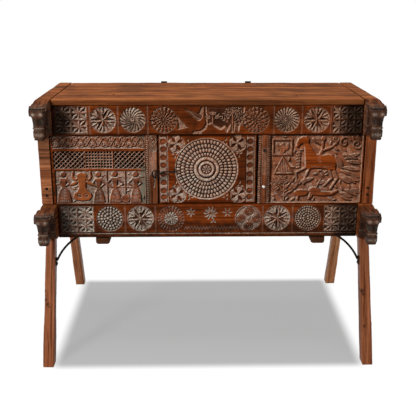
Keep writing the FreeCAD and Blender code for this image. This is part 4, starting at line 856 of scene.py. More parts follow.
def birdAndTree(r):  # a long-tailed bird, a small plant and a tree, left standing on sunk ground
    look = birdLook
    r.level(r.outline(look["wedge"]), deep=5)
    r.level(r.leaf(*look["wing"]), deep=0.8, soft=1.2, dust=0.2)
    r.level(r.outline(look["tail"]), deep=4.5)
    ground = r.outline(look["ground"])
    r.level(ground, deep=4.4, soft=3.2, dust=0.2)
    r.level(r.stroke(look["breast"], half=3.4), deep=4.0, soft=2.4, dust=0.9)
    leafy(r, *look["plant"])
    leafy(r, *look["tree"])
    r.powder(r.stroke(look["ground"][1:-1], half=3.0), dust=0.85)
    # painted shade on the deep sunk ground
    r.darken(0.75 * smooth(ground, -3, -6) * smooth(r.depth, 1.6, 3.4))
    low, high = look["footZ"]
    for x in look["feet"]:
        r.level(r.outline([(x - 6, low), (x + 6, low), (x, high)]), deep=3.5)


def carveUpperRail():
    look = upperRail
    r = railFace("rail_front_upper", look)
    z0, z1 = r.box[2:]
    railPattern(r, look, z0 + look["margin"], z1 - look["margin"])
    birdAndTree(r)
    # toward the ends beside the heads: less dust, soot, and a painted shadow of the heads
    r.dust *= 1 - 0.3 * smooth(r.px, -415, -440)
    sootAndShadow = 0.4 * smooth(r.px, -450, -500) + 0.4 * smooth(r.px, 440, 500)
    r.grime = 0.52 + 0.15 * r.mottled(seed=41, size=0.04) + sootAndShadow
    r.darken(0.7 * smooth(r.px, -440, -500) + 0.88 * smooth(r.px, 425, 505))
    r.worn(seed=11, deep=0.7)
    carvedPiece("rail_front_upper", r)


def carveLowerRail():
    look = lowerRail
    r = railFace("rail_front_lower", look)
    moulding = look["mouldingZ"]
    r.level(moulding + 1 - r.pz, deep=1.6, soft=1.5, dust=0.0)
    railPattern(r, look, moulding + look["margin"], r.box[3] - look["margin"])
    for sizes in look["stars"]:
        starChips(r, *sizes)
    low, high = look["zigzagZ"]
    half = look["zigzagX"][2] / 2
    for x in range(*look["zigzagX"]):
        r.groove(r.stroke([(x - half, low), (x, high), (x + half, low)]), half=2.2, deep=2.4)
    r.groove(r.pz - moulding, half=2.6, deep=3.0, dust=0.3)
    # soot and a painted shadow of the heads toward the ends, and darker towards the bottom
    sootAndShadow = 0.3 * smooth(r.px, 440, 500) + 0.4 * smooth(r.pz, 510, 470)
    r.grime = 0.52 + 0.2 * r.mottled(seed=42, size=0.03) + sootAndShadow
    r.darken(0.75 * smooth(r.px, -420, -520) + 0.8 * smooth(r.px, 425, 510))
    r.worn(seed=12, deep=0.8)
    carvedPiece("rail_front_lower", r)


# Front panels

def figure(r, shapes, high=0.6, dust=0.12, soft=1.7, rubbed=0.0):  # shapes stand up from the sunk ground
    shape = np.minimum.reduce(shapes)
    r.level(shape, deep=high, soft=soft, dust=dust)
    r.rub(rubbed * smooth(shape, 0.5, -1.5))


def fillLeaves(r, box, tries, seed, sizes):  # small leaves wherever the sunk ground is still bare
    rng = np.random.default_rng(seed)
    x0, x1, z0, z1 = box
    for _ in range(tries):
        x, z = rng.uniform(x0, x1), rng.uniform(z0, z1)
        turn, size = rng.uniform(0, 360), rng.uniform(*sizes)
        if r.depth[r.reach(x, z) < size * 0.42].min() < 4.2:
            continue
        ends = around(x, z, size / 2, turn), around(x, z, size / 2, turn + 180)
        r.level(r.leaf(*ends, size * 0.2), deep=1.0, soft=2.2, dust=0.35)
        r.groove(r.stroke([ends[0], (x, z)]), half=1.2, deep=1.4, dust=0.4)


def railGap():  # the heights between which the panels and jambs show
    return boxOf("rail_front_lower")[5], boxOf("rail_front_upper")[4]


leftPanel = {
    "step": 1.2, "ground": 5.0, "vineZ": (774, 818), "latticeZ": (699, 762), "figureZ": (569, 690),
    "latticeX": (-552, -441, -339, -228), "coarse": (17.0, 4.3), "fine": (10.6, 3.1),  # pitch, half a hole
    "women": (  # middle, head height, waist height, half the hem, arm reach to each side
        (-522, 677, 628, 25, (-8, 16)),
        (-396, 677, 624, 20, (-15, 15)),
        (-337, 679, 624, 21, (-20, 21)),
        (-262, 678, 628, 20, (-18, 14)),
    ),
    "bullX": -455, "stripX": -366, "rope": [(-358, 632), (-300, 630), (-266, 628)],
    "pendantCord": [(-299, 690), (-300, 600)],
    "pendant": (-299.5, 586, 17, 16), "pendantRing": (-299.5, 586, 12, 11),
    "leaves": (260, 9, (11, 18)),  # tries, seed and sizes
}
bullLook = {  # laid out from the head's middle line
    "face": [
        (0, 685), (13, 681), (19, 674), (15, 658), (13, 626),
        (20, 614), (31, 606), (34, 592), (24, 580), (0, 577),
    ],
    "horn": [(13, 664), (24, 656), (33, 668), (31, 685)], "ear": [(10, 652), (46, 636)],
    "nostril": (12, 598), "crease": [(7, 670), (5, 640), (8, 616)],
}
vineLook = {"period": 43.0, "shift": 425, "swing": 0.62, "start": 16}


def woman(r, x, head, waist, hem, arms, foot):
    chest = (head - 12 + waist) / 2
    skirt = [(8, waist), (hem * 0.66, waist - 10), (hem * 0.9, waist - 26)]
    skirt += [(hem * 1.05, foot + 8), (hem * 1.05, foot)]
    body = [(12, head - 13), (7, waist - 2)]
    shapes = [r.oval(x, head, 10, 11), r.outline(mirrored(x, skirt)), r.outline(mirrored(x, body))]
    for reach in arms:
        shoulder = (x + math.copysign(9, reach), head - 16)
        shapes.append(r.stroke([shoulder, (x + reach * 1.45, chest - 3), (x, waist + 1)], half=3.3))
    figure(r, shapes, high=0.6, dust=0.1, soft=2.8, rubbed=0.12)
    for side in (-0.6, -0.3, 0, 0.3, 0.6):  # pleats
        pleat = [(x + side * 8, waist - 6), (x + side * hem, foot + 4)]
        r.groove(r.stroke(pleat), half=1.3, deep=1.3, dust=0.7)
    r.groove(only(np.abs(r.px - x) < hem, r.pz - foot - 9), half=1.3, deep=1.2, dust=0.7)
    r.groove(only(np.abs(r.px - x) < 8, r.pz - waist), half=1.4, deep=1.4, dust=0.6)


def bullHead(r, x):
    look = bullLook
    shapes = [r.outline(mirrored(x, look["face"]))]
    for side in (-1, 1):
        shapes.append(r.stroke(sided(x, side, look["horn"]), half=4))
        shapes.append(r.leaf(*sided(x, side, look["ear"]), 6))
    figure(r, shapes, high=0.2, dust=0.02, soft=2.4, rubbed=0.9)
    across, z = look["nostril"]
    for side in (-1, 1):
        ring = r.reach(x + side * across, z)
        r.groove(ring - 6.5, half=2.2, deep=2.6, dust=0.9)
        r.hole(ring - 2.6, deep=3.0)
        r.groove(r.stroke(sided(x, side, look["crease"])), half=1.2, deep=1.0, dust=0.3)


def vineStrip(r, x0, x1, z0, z1):  # a waving stem with a flower and a curl in each bend
    look = vineLook
    middle, tall, period = (z0 + z1) / 2, (z1 - z0) / 2, look["period"]
    swing = tall * look["swing"]
    turn = math.tau * (r.px + look["shift"]) / period
    r.level(r.rectangle(x0, x1, z0, z1), deep=4.4, soft=2.0, dust=0.5)
    slope = np.hypot(1, swing * math.tau / period * np.cos(turn))
    stem = np.abs(r.pz - middle - swing * np.sin(turn)) / slope
    r.level(only((r.px > x0 + 2) & (r.px < x1 - 2), stem - 2.2), deep=0.5, soft=1.2, dust=0.15)
    for step in range(int((x1 - x0) / period * 2)):
        x = x0 + look["start"] + step * period / 2
        up = -math.copysign(1, math.sin(math.tau * (x + look["shift"]) / period + 0.4))
        z = middle + up * tall * 0.3
        reach = r.reach(x, z)
        petals = [r.oval(x + side, z + up * 6, 4, 3.2) for side in (-6, 6)]
        figure(r, petals + [r.oval(x, z, 6.5, 5.5)], high=0.9, dust=0.3, soft=1.2)
        r.groove(reach - 2.4, half=1.2, deep=1.6, dust=0.6)
        figure(r, [only((r.pz - z) * up > -3, np.abs(reach - 12.5) - 1.7)], high=0.9, dust=0.1, soft=1.1)
    end = np.abs(r.reach(x0 + 6, middle) - tall * 0.8) - 2
    r.level(only(r.px < x0 + 24, end), deep=0.6, soft=1.2, dust=0.4)


def lattice(r, x0, x1, z0, z1, pitch, hole, diagonal):
    board = r.rectangle(x0, x1, z0, z1)
    u, v = (r.px - x0) / pitch, (r.pz - z0) / pitch
    if diagonal:
        u, v = u + v, u - v
    u, v = np.abs(fraction(u) - 0.5), np.abs(fraction(v) - 0.5)
    scale = pitch / math.sqrt(2) if diagonal else pitch
    r.level(board, deep=1.2, soft=1.2, dust=0.5)
    r.hole(np.maximum(np.maximum(u, v) * scale - hole, board), deep=10)


def carveLeftPanel():
    look = leftPanel
    left, right = boxOf("post_front_left")[1], boxOf("jamb_left")[0]
    r = Relief(left, right, *railGap(), look["step"])
    px, pz = r.px, r.pz
    vineStrip(r, left + 8, right - 3, *look["vineZ"])
    first, second, third, last = look["latticeX"]
    lattice(r, first, second, *look["latticeZ"], *look["coarse"], True)
    lattice(r, second + 3, third - 3, *look["latticeZ"], *look["fine"], False)
    lattice(r, third, last, *look["latticeZ"], *look["coarse"], True)
    low, high = look["figureZ"]
    r.level(r.rectangle(first + 2, last, low, high), deep=look["ground"], soft=1.8, dust=0.6)
    r.level(np.abs(px - look["stripX"]) - 3.2 + np.maximum(pz - high, 0) * 9, deep=0.8, soft=1.2, dust=0.4)
    for sizes in look["women"]:
        woman(r, *sizes, low)
    bullHead(r, look["bullX"])
    figure(r, [r.stroke(look["pendantCord"], half=2.6), r.oval(*look["pendant"])], high=0.3, dust=0.08)
    figure(r, [r.stroke(look["rope"], half=2.0)], high=0.3, dust=0.15)
    r.groove(r.oval(*look["pendantRing"]), half=1.2, deep=1.2, dust=0.5)
    besideDoor = smooth(px, -252, -238) * smooth(pz, 760, 690) * 0.9
    r.paint = besideDoor + smooth(px, -262, -234) * smooth(pz, 778, 800) * 0.6
    fillLeaves(r, (first + 6, last - 6, low + 6, high - 6), *look["leaves"])
    r.grime = 0.32 + 0.2 * r.mottled(seed=43, size=0.03) + 0.3 * smooth(px, -470, -545)
    r.worn(seed=13, deep=0.9)
    carvedPiece("panel_front_left", r)


rightPanel = {
    "step": 1.2, "ground": 5.0,
    "square": (230, 304, 744, 806),
    "buds": ((267, 771, 11, 20), (250, 776, 6, 14, 0.3), (284, 776, 6, 14, -0.3)),
    "tent": [(268, 743), (236, 676), (312, 676)], "tentLines": range(240, 301, 6),
    "horse": [
        (346, 778), (349, 735), (352, 700), (366, 694), (386, 698), (430, 694), (446, 690), (461, 691),
        (463, 720), (457, 738), (446, 748), (432, 751), (410, 746), (390, 750), (376, 766), (362, 788),
        (362, 806), (352, 818), (336, 815), (322, 806), (316, 790), (315, 777), (323, 774), (331, 786),
        (340, 788),
    ],
    "legs": (
        [(354, 700), (318, 682), (324, 646)], [(366, 696), (354, 668), (348, 640)],
        [(438, 694), (450, 660), (422, 632)], [(456, 694), (470, 660), (448, 622)],
    ),
    "tail": ((458, 746), (488, 694), 11), "tailLines": (0, 5, 10, 15), "bellyX": (372, 450),
    "mane": (326, 702, 10.5, 6),  # foot, pitch and count of the plaits
    "rider": (
        [(408, 750), (412, 792)], [(411, 784), (386, 794), (378, 804)], [(406, 758), (398, 732), (404, 722)],
        [(416, 764), (446, 777), (462, 792)],
    ),
    "riderHead": (413, 806, 8, 9), "spear": [(410, 658), (376, 588)],
    "branches": (
        [(277, 578), (277, 640)], [(277, 590), (250, 612), (238, 634)], [(277, 598), (306, 614), (318, 634)],
        [(277, 612), (258, 634), (252, 654)], [(277, 618), (296, 640), (304, 658)], [(277, 634), (272, 660)],
    ),
    "leaves": (
        ((486, 748), (540, 732)), ((492, 732), (548, 752)), ((500, 722), (554, 716)),
        ((486, 700), (556, 690)), ((480, 690), (554, 662)), ((494, 668), (540, 640)),
        ((510, 664), (558, 648)), ((478, 664), (520, 640)), ((480, 606), (530, 588)),
        ((500, 618), (548, 594)), ((520, 620), (560, 604)), ((486, 592), (526, 578)),
        ((330, 642), (384, 662)), ((396, 640), (430, 648)), ((320, 660), (336, 636)),
    ),
    "scrolls": (  # middle, size, turns, side and half width
        (490, 792, 22, 1.1, 1, 3.2), (534, 786, 18, 1.2, -1, 3.0), (456, 806, 12, 1.0, -1, 2.6),
    ),
    "beasts": ((340, 606, 26, 13), (390, 612, 22, 15, -0.3), (424, 602, 40, 9)),
    "beastLimbs": (  # path and half width
        ([(330, 600), (328, 582)], 4), ([(376, 604), (370, 582)], 4), ([(450, 602), (470, 612)], 5),
    ),
    "scallopsX": (300, 452, 15), "scallopZ": 824,
    "smallLeaves": (500, 8, (13, 26)),  # tries, seed and sizes
}


def scroll(r, cx, cz, size, turns, side, half):  # a curling tendril
    path = []
    for step in range(26):
        share = step / 25
        turn = side * (0.4 + share * turns * math.tau)
        path.append(around(cx, cz, size * (1 - share * 0.85), math.degrees(turn)))
    figure(r, [r.stroke(path, half=half)], high=0.7, dust=0.3, soft=1.2)


def horseAndRider(r, body):
    look = rightPanel
    limbs = [r.stroke(leg, half=4.2) for leg in look["legs"]] + [r.leaf(*look["tail"])]
    r.level(np.minimum.reduce(limbs), deep=0.8, soft=3.0, dust=0.4)
    figure(r, [body], high=0.0, dust=0.0, soft=3.0, rubbed=0.1)
    for shift in look["tailLines"]:
        hair = [(462 + shift, 738 - shift), (480 + shift * 0.6, 700)]
        r.groove(r.stroke(hair), half=1.2, deep=2.0, dust=0.4)
    low, high = look["bellyX"]
    belly = r.pz - 704 - 0.0012 * (r.px - 410) ** 2
    r.groove(only((r.px > low) & (r.px < high), belly), half=1.4, deep=1.2, dust=0.4)
    rider = [r.stroke(limb, half=4.4) for limb in look["rider"]] + [r.oval(*look["riderHead"])]
    figure(r, rider, high=0.4, dust=0.2, soft=2.6)
    x, z, pitch, count = look["mane"]
    for step in range(count):
        figure(r, [r.oval(x, z + step * pitch, 8, 4.4, 0.35)], high=0.6, dust=0.5, soft=1.2)


def panelPlants(r):
    look = rightPanel
    figure(r, [r.stroke(branch, half=2.4) for branch in look["branches"]], high=0.6, dust=0.2, soft=1.2)
    for branch in look["branches"]:
        (ax, az), (bx, bz) = branch[-2:]
        for share in (0.2, 0.5, 0.8, 1.0):
            x, z = ax + (bx - ax) * share, az + (bz - az) * share
            for side in (-13, 13):
                r.level(r.leaf((x, z), (x + side, z + 9), 3.2), deep=0.7, soft=1.0, dust=0.3)
    for start, end in look["leaves"]:
        r.level(r.leaf(start, end, 7.5), deep=0.6, soft=2.8, dust=0.3)
        r.groove(r.stroke([start, end]), half=1.4, deep=2.0, dust=0.8)
    for sizes in look["scrolls"]:
        scroll(r, *sizes)


def carveRightPanel():
    look = rightPanel
    left, right = boxOf("jamb_right")[1], boxOf("post_front_right")[0]
    sill, head = railGap()
    r = Relief(left, right, sill, head, look["step"])
    px, pz = r.px, r.pz
    r.level(r.rectangle(left + 3, right - 8, sill + 5, head - 3), deep=look["ground"], soft=2.0, dust=0.3)
    square = r.rectangle(*look["square"])
    r.level(square, deep=0.4, soft=1.4, dust=0.25)
    r.level(square + 7, deep=4.2, soft=1.2, dust=0.7)
    figure(r, [r.oval(*bud) for bud in look["buds"]], high=1.0, dust=0.3)
    tent = r.outline(look["tent"])
    r.level(tent, deep=0.5, soft=1.4, dust=0.2)
    r.level(tent + 5, deep=2.4, soft=1.0, dust=0.5)
    for x in look["tentLines"]:
        r.groove(only(tent < -6, px - x), half=1.6, deep=4.2, dust=0.5)
    body = r.outline(look["horse"])
    horseAndRider(r, body)
    panelPlants(r)
    figure(r, [r.stroke(look["spear"], half=2.2)], high=0.3, dust=0.2, soft=1.0)
    beasts = [r.oval(*sizes) for sizes in look["beasts"]] + [r.stroke(*limb) for limb in look["beastLimbs"]]
    figure(r, beasts, high=0.4, dust=0.05, soft=2.2, rubbed=0.25)
    r.groove(only((px > left + 6) & (px < right - 10), pz - sill - 8), half=2.0, deep=2.4, dust=0.5)
    for x in range(*look["scallopsX"]):
        r.groove(only(pz > 806, r.reach(x, look["scallopZ"]) - 9), half=1.6, deep=2.0, dust=0.7)
    fillLeaves(r, (left + 8, right - 12, sill + 12, head - 8), *look["smallLeaves"])
    sunk = smooth(r.depth, 3.4, 4.6) * smooth(body, 2, 5)
    r.rub(0.75 * sunk * smooth(r.mottled(seed=46, size=0.03), 0.0, 0.5))
    r.dust = np.maximum(r.dust, 0.75 * sunk * smooth(r.mottled(seed=47, size=0.022), 0.15, 0.5))
    # painted shadow below and right of the figures
    r.paintedShadow(share=0.8, reach=4.2)
    r.grime = (0.26 + 0.24 * r.mottled(seed=45, size=0.03)) * smooth(body, 0, 4)
    r.grime += 0.7 * smooth(px, 480, 545) * smooth(pz, 770, 815)
    r.worn(seed=14, deep=0.9)
    carvedPiece("panel_front_right", r)


carveUpperRail()
carveLowerRail()
carveLeftPanel()
carveRightPanel()
print("front carved")


# Growing trees for what repeats

def growthTree(name, inputs):  # an empty Geometry Nodes tree with named inputs
    tree = bpy.data.node_groups.new(name, "GeometryNodeTree")
    tree.interface.new_socket("Geometry", in_out="OUTPUT", socket_type="NodeSocketGeometry")
    tree.interface.new_socket("Geometry", in_out="INPUT", socket_type="NodeSocketGeometry")
    for label, kind in inputs.items():
        tree.interface.new_socket(label, in_out="INPUT", socket_type="NodeSocket" + kind)
    nodes = Nodes(tree)
    given = tree.nodes.new("NodeGroupInput")
    return nodes, {socket.name: Sock(nodes, socket) for socket in given.outputs if socket.name}


def endTree(nodes, given, geometry):
    plain = nodes.node("GeometryNodeRealizeInstances", None, {"Geometry": geometry})
    done = nodes.node("GeometryNodeSetMaterial", None, {"Geometry": plain, "Material": given["Finish"]})
    last = nodes.tree.nodes.new("NodeGroupOutput")
    nodes.tree.links.new(done.socket, last.inputs["Geometry"])
    return nodes.tree


def grow(tree, values, source=None):  # runs a tree once and gives back a plain mesh
    holder = linked("growHolder", source or bpy.data.meshes.new("growHolder"))
    modifier = holder.modifiers.new("grow", "NODES")
    modifier.node_group = tree
    for item in tree.interface.items_tree:
        if item.in_out == "INPUT" and item.name in values:
            modifier[item.identifier] = values[item.name]
    return evaluated(holder, modifier)


def motifOf(nodes, given):
    return nodes.node("GeometryNodeObjectInfo", None, {"Object": given["Motif"]}, "Geometry")


def luckOf(nodes, given):  # a random size about 1
    limits = {2: 1.0 - given["Spread"], 3: 1.0 + given["Spread"], "Seed": given["Seed"]}
    return nodes.node("FunctionNodeRandomValue", None, limits, 1)


def petalRingTree():  # one motif set round a circle, its own x axis pointing outwards
    nodes, given = growthTree("petalRing", {
        "Motif": "Object", "Count": "Int", "Radius": "Float", "Size": "Vector",
        "Spread": "Float", "Seed": "Int", "Finish": "Material",
    })
    ring = {"Vertices": given["Count"], "Radius": given["Radius"]}
    circle = nodes.node("GeometryNodeMeshCircle", None, ring)
    turn = nodes.node("GeometryNodeInputIndex") * math.tau / given["Count"]
    sizes = {0: given["Size"], "Scale": luckOf(nodes, given)}
    placed = nodes.node("GeometryNodeInstanceOnPoints", None, {
        "Points": circle, "Instance": motifOf(nodes, given),
        "Rotation": nodes.node("ShaderNodeCombineXYZ", None, {"Z": turn}),
        "Scale": nodes.node("ShaderNodeVectorMath", {"operation": "SCALE"}, sizes),
    })
    return endTree(nodes, given, placed)


def studTree():  # one motif on every point of the source, each turned a little differently
    nodes, given = growthTree("studs", {
        "Motif": "Object", "Size": "Float", "Tilt": "Vector",
        "Spread": "Float", "Seed": "Int", "Finish": "Material",
    })
    placed = nodes.node("GeometryNodeInstanceOnPoints", None, {
        "Points": given["Geometry"], "Instance": motifOf(nodes, given),
        "Rotation": given["Tilt"], "Scale": luckOf(nodes, given) * given["Size"],
    })
    spin = nodes.node("FunctionNodeRandomValue", None, {2: 0.0, 3: 6.28, "Seed": given["Seed"]}, 1)
    own = nodes.node("ShaderNodeCombineXYZ", None, {"X": spin})
    turned = nodes.node("GeometryNodeRotateInstances", None, {"Instances": placed, "Rotation": own})
    return endTree(nodes, given, turned)


def wireLoopTree():  # a forged link: a round wire bent into a long loop in the XY plane
    nodes, given = growthTree("wireLoop", {
        "Length": "Float", "Width": "Float", "Wire": "Float", "Finish": "Material",
    })
    wide, high = given["Width"] - given["Wire"], given["Length"] - given["Wire"]
    box = nodes.node("GeometryNodeCurvePrimitiveQuadrilateral", None, {"Width": high, "Height": wide})
    bent = nodes.node("GeometryNodeFilletCurve", {"mode": "POLY"}, {
        "Curve": box, "Radius": wide * 0.499, "Count": 10, "Limit Radius": True,
    })
    fine = nodes.node("GeometryNodeResampleCurve", None, {"Curve": bent, "Count": 48})
    section = {"Resolution": 12, "Radius": given["Wire"] * 0.5}
    ring = nodes.node("GeometryNodeCurvePrimitiveCircle", None, section)
    wire = nodes.node("GeometryNodeCurveToMesh", None, {"Curve": fine, "Profile Curve": ring})
    return endTree(nodes, given, wire)


trees = {"petals": petalRingTree(), "studs": studTree(), "wire": wireLoopTree()}


def motifObject(name, stations, sides):  # a closed lump lofted through oval sections along x
    ring = [(math.cos(math.tau * k / sides), math.sin(math.tau * k / sides)) for k in range(sides)]
    co = [(x, half * c, high * s) for x, half, high in stations for c, s in ring]
    faces = []
    for station in range(len(stations) - 1):
        for k in range(sides):
            first, second = station * sides + k, station * sides + (k + 1) % sides
            faces.append((first, first + sides, second + sides, second))
    last = (len(stations) - 1) * sides
    faces.append(tuple(range(sides)))
    faces.append(tuple(range(last + sides - 1, last - 1, -1)))
    mesh = bpy.data.meshes.new(name)
    mesh.from_pydata(co, [], faces)
    shape = bmesh.new()
    shape.from_mesh(mesh)
    bmesh.ops.recalc_face_normals(shape, faces=shape.faces)
    shape.to_mesh(mesh)
    shape.free()
    mesh.shade_smooth()
    return bpy.data.objects.new(name, mesh)


# Door leaf

doorLook = {
    "step": 1.2, "flowers": ((-114, 788), (105, 790), (-111, 600), (110, 600)),
    "flowerTurn": 24, "flowerRadius": 31, "strips": ((-173, -146), (138, 166)),
    "ovals": (738, 709, 676, 645, 614, 590, 768, 796), "ovalSize": (11.5, 10),
    "bossX": -5, "bossZ": 696, "bossRadius": 112, "dome": 5.5, "bed": 3.0,
    # shares of the boss's radius; a ridge has its height, and a ring its count of petals, last
    "steps": (0.42, 0.55, 0.69, 0.832, 0.975),
    "ridges": ((0.355, 0.05, 2.4), (0.215, 0.045, 3.4), (1.0, 0.022, 3.0)),
    "petalRings": ((0.842, 0.968, 54), (0.70, 0.824, 47), (0.56, 0.684, 40), (0.43, 0.545, 34)),
    "petalTall": 3.4, "petalSides": 8,
    "petal": [  # place along the petal, half width and height
        (-0.5, 0.2, 0.3), (-0.4, 0.34, 0.7), (-0.1, 0.44, 1.0),
        (0.2, 0.48, 1.0), (0.42, 0.36, 0.8), (0.5, 0.14, 0.3),
    ],
}


def bossBed(share):  # a stack of round steps, highest in the middle
    steps = doorLook["steps"]
    return doorLook["dome"] * sum(smooth(share, edge + 0.008, edge - 0.008) for edge in steps) / len(steps)


def ridge(share, middle, half, high):
    return high * np.sqrt(np.clip(1 - ((share - middle) / half) ** 2, 0, 1))


def bossPetals(front):  # rings of small petals that stand on the stepped bed of the boss
    look = doorLook
    petal = motifObject("petalMotif", look["petal"], look["petalSides"])
    radius, tall = look["bossRadius"], look["petalTall"]
    shape = bmesh.new()
    for place, (near, far, count) in enumerate(look["petalRings"]):
        middle = (near + far) / 2
        pitch = math.tau * middle * radius / count
        mesh = grow(trees["petals"], {
            "Motif": petal, "Count": count, "Radius": middle * radius * mm,
            "Size": ((far - near) * radius * mm * 0.96, pitch * mm * 0.94, tall * mm),
            "Spread": 0.07, "Seed": 5 + place, "Finish": finishes["carved"],
        })
        co = points(mesh) / mm
        high = co[:, 2] + bossBed(np.full(len(co), middle)) - look["bed"] + 0.3
        movePoints(mesh, np.stack([co[:, 0] + look["bossX"], front - high, co[:, 1] + look["bossZ"]], 1) * mm)
        top, normal = co[:, 2] / tall, normals(mesh)
        lean = dustAndLightLook["upward"] * normal[:, 2] + dustAndLightLook["across"] * normal[:, 0]
        # pale dust with painted highlight on petal sides facing the light; painted shade at their feet and on
        # sides turned away
        setValues(mesh, {
            "dust": np.clip(0.62 + 0.5 * lean, 0.1, 1),
            "crevice": np.maximum(0.95 * smooth(top, 0.6, 0.1), 0.6 * smooth(-lean, 0.25, 0.8)),
            "worn": 0 * top, "paint": 0 * top, "grime": 0 * top,
        })
        shape.from_mesh(mesh)
    bpy.data.objects.remove(petal)
    return shape


def doorFlower(r, x, z):  # four petals with pits between them, and two small stars beside it
    look = doorLook
    r.level(r.reach(x, z) - look["flowerRadius"], deep=3.0, soft=1.4, dust=0.6)
    for turn in range(look["flowerTurn"], 360, 90):
        petal = r.leaf(around(x, z, 2, turn + 45), around(x, z, 33, turn + 45), 9)
        r.level(petal, deep=0.3, soft=2.4, dust=0.85)
        pit = r.leaf(around(x, z, 5, turn), around(x, z, 29, turn + 8), 5.6)
        r.level(pit, deep=4.6, soft=1.8, dust=0.0)
        # painted shade in the pit
        r.darken(0.55 * smooth(pit, 0.5, -2.5))
    right, above = x > look["bossX"], z > look["bossZ"]
    across, upward = 26 if right else -26, 22 if above else -22
    starChips(r, x + across * 0.2, z - upward * 1.75, 2, 15, 3.4, 3, -90 if above else 90)
    starChips(r, x - across * 1.75, z + upward * 0.35, 2, 15, 3.4, 3, 180 if right else 0)


def doorStrip(r, low, high):  # an upright row of oval pits between two grooves
    look = doorLook
    r.level(r.rectangle(low, high, r.box[2] + 6, r.box[3] - 6), deep=0.9, soft=1.4, dust=0.75)
    for z in look["ovals"]:
        pit = r.oval((low + high) / 2, z, *look["ovalSize"])
        r.level(pit, deep=3.8, soft=2.6, dust=0.05)
        # painted shade round the rim of the pit
        r.darken(0.5 * smooth(np.abs(pit + 1), 2.6, 0.6))
    for edge in (low, high):
        r.groove(r.px - edge, half=2.4, deep=3.2, dust=0.2)


def doorBoss(r):  # a round bed with raised rings and an eight-rayed star in its middle
    look = doorLook
    reach, turn = r.polar(look["bossX"], look["bossZ"])
    share = reach / look["bossRadius"]
    r.level(reach - look["bossRadius"] - 2, deep=look["bed"], soft=1.2, dust=0.55)
    swell = sum(ridge(share, *sizes) for sizes in look["ridges"])
    star = 0.5 + 0.5 * np.cos(8 * turn)
    swell += 2.4 * smooth(share, 0.15, 0.12) * star
    # painted shade between the star's rays and in the gaps under the rings; pale dust with painted highlight
    # on the raised rings
    r.darken(0.8 * smooth(share, 0.16, 0.12) * (1 - star))
    r.dust = np.where(share < 1.02, 0.25 + 0.75 * smooth(swell, 0.3, 1.6), r.dust)
    r.darken(np.where(share < 1.0, 0.85 * smooth(swell, 0.6, 0.1), 0))
    r.depth -= swell + np.where(share < 1, bossBed(share), 0)
    r.grime = 0.35 * smooth(share, 1.0, 1.04)


def carveDoor():
    x0, x1, _, back, z0, z1 = boxOf("door_leaf")
    pivotX, pivotY, _ = [value / mm for value in joints["door_swing"]["pos_m"]]
    half = back - pivotY
    front = pivotY - half  # the boss stands out of this plane
    r = Relief(x0, x1, z0, z1, doorLook["step"])
    for place in doorLook["flowers"]:
        doorFlower(r, *place)
    for edges in doorLook["strips"]:
        doorStrip(r, *edges)
    doorBoss(r)
    r.worn(seed=15, deep=0.6)

    def edgeTurn(x):  # the pivot edge is a half round about the pin
        return half - np.sqrt(np.clip(half ** 2 - np.clip(x - pivotX, 0, half) ** 2, 0, None))

    r.depth += edgeTurn(r.px)
    mesh = boardMesh("door_leaf", r, front, back, edgeTurn)
    shape = bossPetals(front)
    shape.from_mesh(mesh)
    bmesh.ops.remove_doubles(shape, verts=shape.verts, dist=1e-7)
    shape.to_mesh(mesh)
    shape.free()
    mesh.shade_smooth()
    mesh.set_sharp_from_angle(angle=math.radians(60))
    placePiece("door_leaf_carved", mesh, "carved", "door_leaf", "door")


# Door jambs

jambLook = {
    "step": 1.0, "notch": 6.8, "notchWide": 8.5, "notchDeep": 5.0, "rings": (0.35, 0.65, 0.95),
    "splinter": ((0.6, 683), (0.72, 655), (0.66, 632)),  # share of the width, height
    "sides": (  # node, notched edges, ringed scrolls by height and size
        ("jamb_left", (-1,), ((806, 16), (776, 15)), 16),
        ("jamb_right", (-1, 1), (), 17),
    ),
}


def carveJamb(node, notched, scrolls, seed):
    look = jambLook
    x0, x1 = boxOf(node)[:2]
    sill, head = railGap()
    r = Relief(x0, x1, sill, head, look["step"])
    wide = x1 - x0
    tooth = np.abs(2 * fraction(r.pz / look["notch"]) - 1)
    for edge in notched:
        inward = np.abs(r.px - (x0 if edge < 0 else x1))
        r.cut(look["notchDeep"] * np.clip(1.15 * tooth - inward / look["notchWide"], 0, 1), dust=0.9)
        r.groove(inward - look["notchWide"] - 3, half=1.5, deep=1.6, dust=0.5)
    for z, size in scrolls:
        for share in look["rings"]:
            r.groove(r.reach((x0 + x1) / 2 + 4, z) - size * share, half=1.8, deep=2.4, dust=0.8)
    r.powder(r.rectangle(x0 + 12, x1 - 6, sill + 110, head - 50), dust=0.35)
    if scrolls:  # a pale splinter, paint and darker wood on the lower half
        splinter = [(x0 + share * wide, z) for share, z in look["splinter"]]
        r.groove(r.stroke(splinter), half=2.6, deep=3.0, dust=0.95)
        r.paint = 0.5 * smooth(r.px, x0 + 0.4 * wide, x0) * smooth(r.pz, 700, 650)
        r.darken(0.35 * smooth(r.pz, 690, 660))
    r.grime = 0.35 + 0.2 * r.mottled(seed=44, size=0.02)
    r.worn(seed=seed, deep=1.0)
    carvedPiece(node, r, "carvedUpright")


carveDoor()
for side in jambLook["sides"]:
    carveJamb(*side)


# Side beams with their horse heads

headLook = {
    "edge": 2.2, "voxel": 2.2, "rib": 8.0, "hair": 5.0,
    "rails": {"upper": 2.6, "lower": 0.5},  # depth of the ribs on the beams at each rail
}


